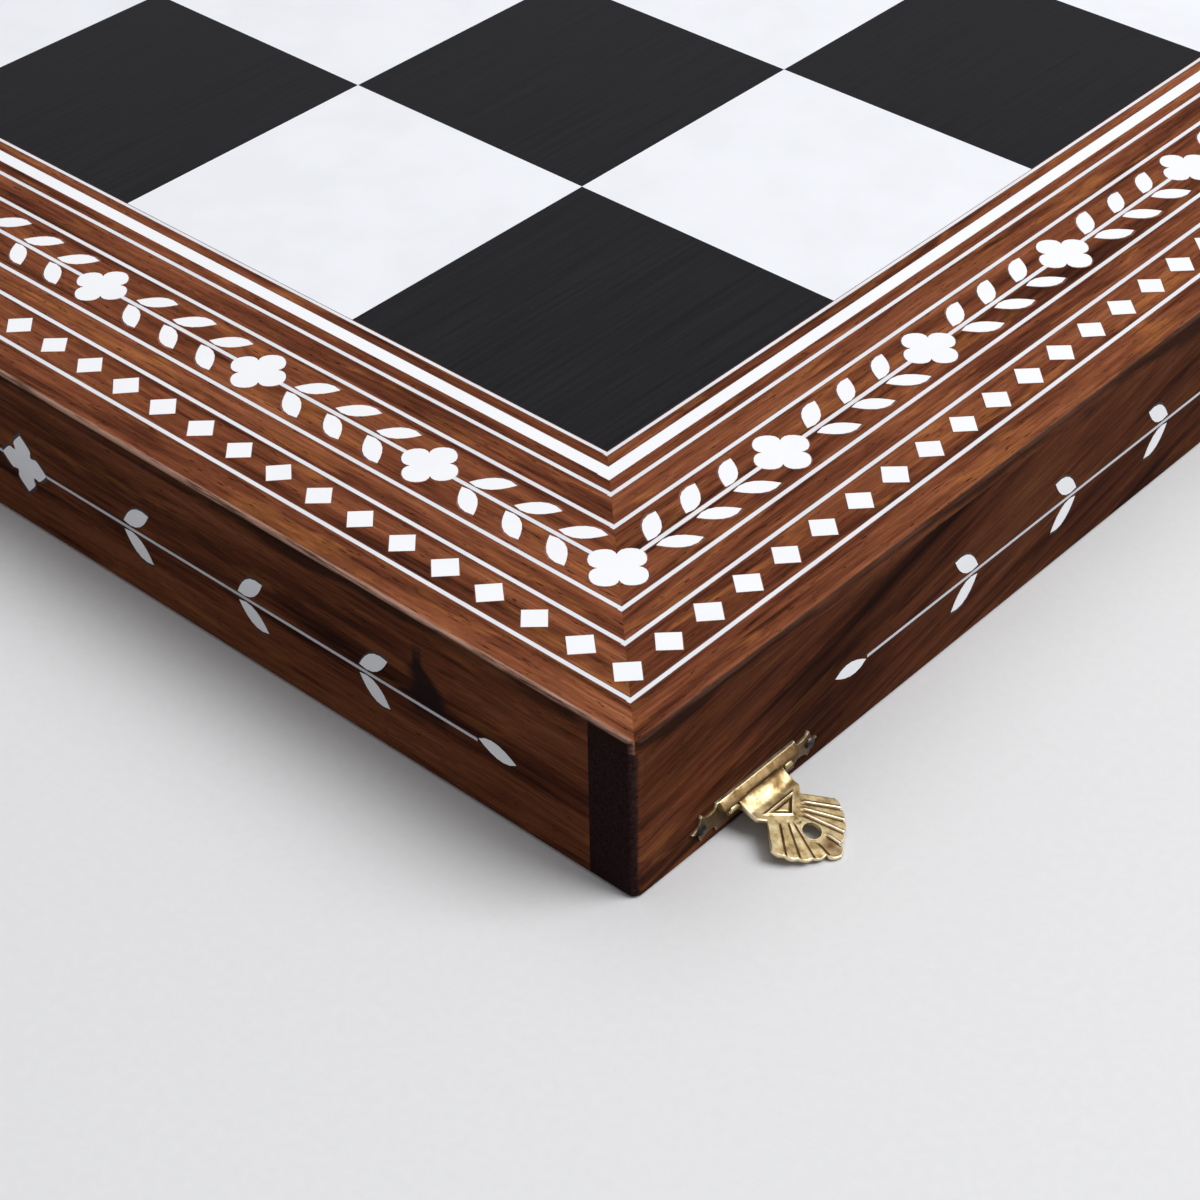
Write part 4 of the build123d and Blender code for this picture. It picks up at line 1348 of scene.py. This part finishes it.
def hasp_form():
    """The hasp flat along X from its pin."""
    edge = hasp_edge()
    rim = kdtree.KDTree(2 * len(edge))
    for index, point in enumerate(edge):
        rim.insert((point.x, point.y, 0), 2 * index)
        rim.insert((point.x, -point.y, 0), 2 * index + 1)
    rim.balance()
    form = bmesh.new()
    # The relief layer holds the hasp's tone: painted highlights with polish, painted shade with grimy
    # deposits.
    relief = form.verts.layers.float.new("relief")
    spread = [sin(pi / 2 * column / hasp_columns) for column in range(-hasp_columns, hasp_columns + 1)]
    face_rows, back_rows = [], []
    for point in edge:
        row = []
        for share in spread:
            y = share * point.y
            height, tone = hasp_relief(point.x, y)
            to_edge = rim.find((point.x, y, 0))[2] if point.x > hasp_grid else point.y - abs(y)
            rounding = 0.0
            # The rounded edge is painted bright: polish and a painted highlight.
            if to_edge < edge_rounding:
                rounding = edge_rounding - sqrt(edge_rounding ** 2 - (edge_rounding - to_edge) ** 2)
                tone = max(tone, 1 - to_edge / edge_rounding)
            made = form.verts.new((point.x, y, hasp_thickness / 2 + height - rounding))
            made[relief] = tone
            row.append(made)
        face_rows.append(row)
        back_rows.append([form.verts.new((point.x, way * point.y, -hasp_thickness / 2)) for way in (-1, 1)])
    for low, high, back_low, back_high in zip(face_rows, face_rows[1:], back_rows, back_rows[1:]):
        for left, right, far_right, far_left in zip(low, low[1:], high[1:], high):
            form.faces.new((left, far_left, far_right, right))
        form.faces.new((back_low[0], back_low[1], back_high[1], back_high[0]))
        form.faces.new((low[0], back_low[0], back_high[0], high[0]))
        form.faces.new((low[-1], high[-1], back_high[1], back_low[1]))
    form.faces.new([*face_rows[0], back_rows[0][1], back_rows[0][0]])
    bmesh.ops.remove_doubles(form, verts=form.verts, dist=mm / 5000)
    bmesh.ops.recalc_face_normals(form, faces=form.faces)
    form = combine(form, rod(knuckle_radius, -tongue_half_width, tongue_half_width, 0, 0, 0.1 * mm), "UNION")
    hole = bmesh.new()
    bmesh.ops.create_cone(hole, cap_ends=True, segments=48, radius1=hole_radius, radius2=hole_radius,
                          depth=4 * mm, matrix=Matrix.Translation((hole_place, 0, 0)))
    return combine(form, hole, "DIFFERENCE")


hasp_flat = hasp_form()
for name, y in zip(("hasp_front", "hasp_back"), clasp_places):
    form = hasp_flat.copy()
    at_pin = Matrix.Translation((half + clasp_pin, y, clasp_height))
    form.transform(at_pin @ Matrix.Rotation(hasp_slope, 4, "Y"))
    smooth_over(place_piece(f"{name}_plate", form, name, "brass", [old_brass], name), 50)
hasp_flat.free()


# The catches on the other half: a plain scrolled plate at each end of its long wall, nailed
# like the clasp's, with a turned stud riveted in its middle for the hasp to drop over.
catch_height = 4.65 * mm
stud_radius = 0.95 * mm
rivet_radius = 0.6 * mm
stud_reach = 1.9 * mm


def stud_form():
    """A stud with a rounded head over a slight neck."""
    form = bmesh.new()
    end = plate_thickness + 0.05 * mm + stud_reach
    spin_profile(form, [
        (rivet_radius, 0), (rivet_radius, plate_thickness), (stud_radius, plate_thickness),
        (stud_radius * 0.93, plate_thickness + 0.3 * mm), (stud_radius * 0.9, end - 0.9 * mm),
        (stud_radius, end - 0.65 * mm), (stud_radius, end - 0.4 * mm), (stud_radius * 0.9, end - 0.15 * mm),
        (stud_radius * 0.62, end - 0.02 * mm), (stud_radius * 0.25, end),
    ])
    form.transform(Matrix.Rotation(pi / 2, 4, "Y"))
    return form


spots = [on_wall(-1, y, catch_height) for y in clasp_places]
for part, form, solid, angle in (("fronts", upright_plate(), "plates", 35),
                                 ("pegs", stud_form(), "studs", 40)):
    smooth_over(place_piece(f"catch_{part}", copies(form, spots), "catch_half", "brass", [old_brass],
                            f"catch_{solid}"), angle)
nails("catch_nails", -1, catch_height, "catch_tacks")


# A pale floor and a white surround, with two soft studio lamps: the main one high on the
# clasp side and a little behind, and a weaker one overhead.
def soft_lamp(name, place, aim, width, watts):
    """A square soft box that faces a point."""
    lamp_data = bpy.data.lights.new(name, "AREA")
    lamp_data.size = width
    lamp_data.energy = watts
    lamp = stand(name, lamp_data)
    lamp.location = place
    lamp.rotation_euler = (Vector(aim) - Vector(place)).to_track_quat("-Z", "Y").to_euler()


def seen_directly(tree):
    """Whether a ray comes from the camera, or by way of a glossy face or glass."""
    rays = add(tree, "ShaderNodeLightPath").outputs
    return math(tree, "MAXIMUM", rays["Is Camera Ray"],
                math(tree, "MAXIMUM", rays["Is Glossy Ray"], rays["Is Transmission Ray"]))


lamp_aim = (0.1, -0.1, 0)
surround_colour = (0.93, 0.94, 0.96, 1)
soft_lamp("clasp_side_box", (1.02, 0.30, 1.14), lamp_aim, 0.9, 18.7)
soft_lamp("overhead_box", (-0.30, 0.10, 1.45), lamp_aim, 1.1, 5.0)

world = bpy.data.worlds.new("studio")
bpy.context.scene.world = world
world.use_nodes = True
world_tree = world.node_tree
background = world_tree.nodes["Background"]
background.inputs["Color"].default_value = surround_colour
strength = fade(world_tree, seen_directly(world_tree), 0, 1, 0.31, 1.0)
world_tree.links.new(strength, background.inputs["Strength"])


def pale_floor(name):
    """Pale matt paper, which far off gives way to the white of the surround."""
    material, tree, shader, place = new_material(name, Roughness=0.8, Specular_IOR_Level=0.1,
                                                 Emission_Color=surround_colour)
    spots = stretched_noise(tree, place, (0.0015, 0.0015, 0.0015), 3)
    colour = ramp(tree, spots, [(0.3, (0.75, 0.75, 0.76)), (0.7, (0.77, 0.77, 0.78))])
    seen = seen_directly(tree)
    colour = blend(tree, seen, (0.50, 0.50, 0.51, 1), colour)
    distance = add(tree, "ShaderNodeVectorMath", {0: place}, operation="LENGTH").outputs["Value"]
    far = times(tree, seen, fade(tree, distance, 0.55, 1.7))
    tree.links.new(far, shader.inputs["Emission Strength"])
    paint(tree, shader, blend(tree, far, colour, (0, 0, 0, 1)))
    return material


floor = stand("floor", mesh_of("floor", prism(rectangle(-3, 3, -3, 3), -0.01, 0)))
floor.data.materials.append(pale_floor("pale_floor"))

bpy.context.scene.view_settings.view_transform = "Standard"
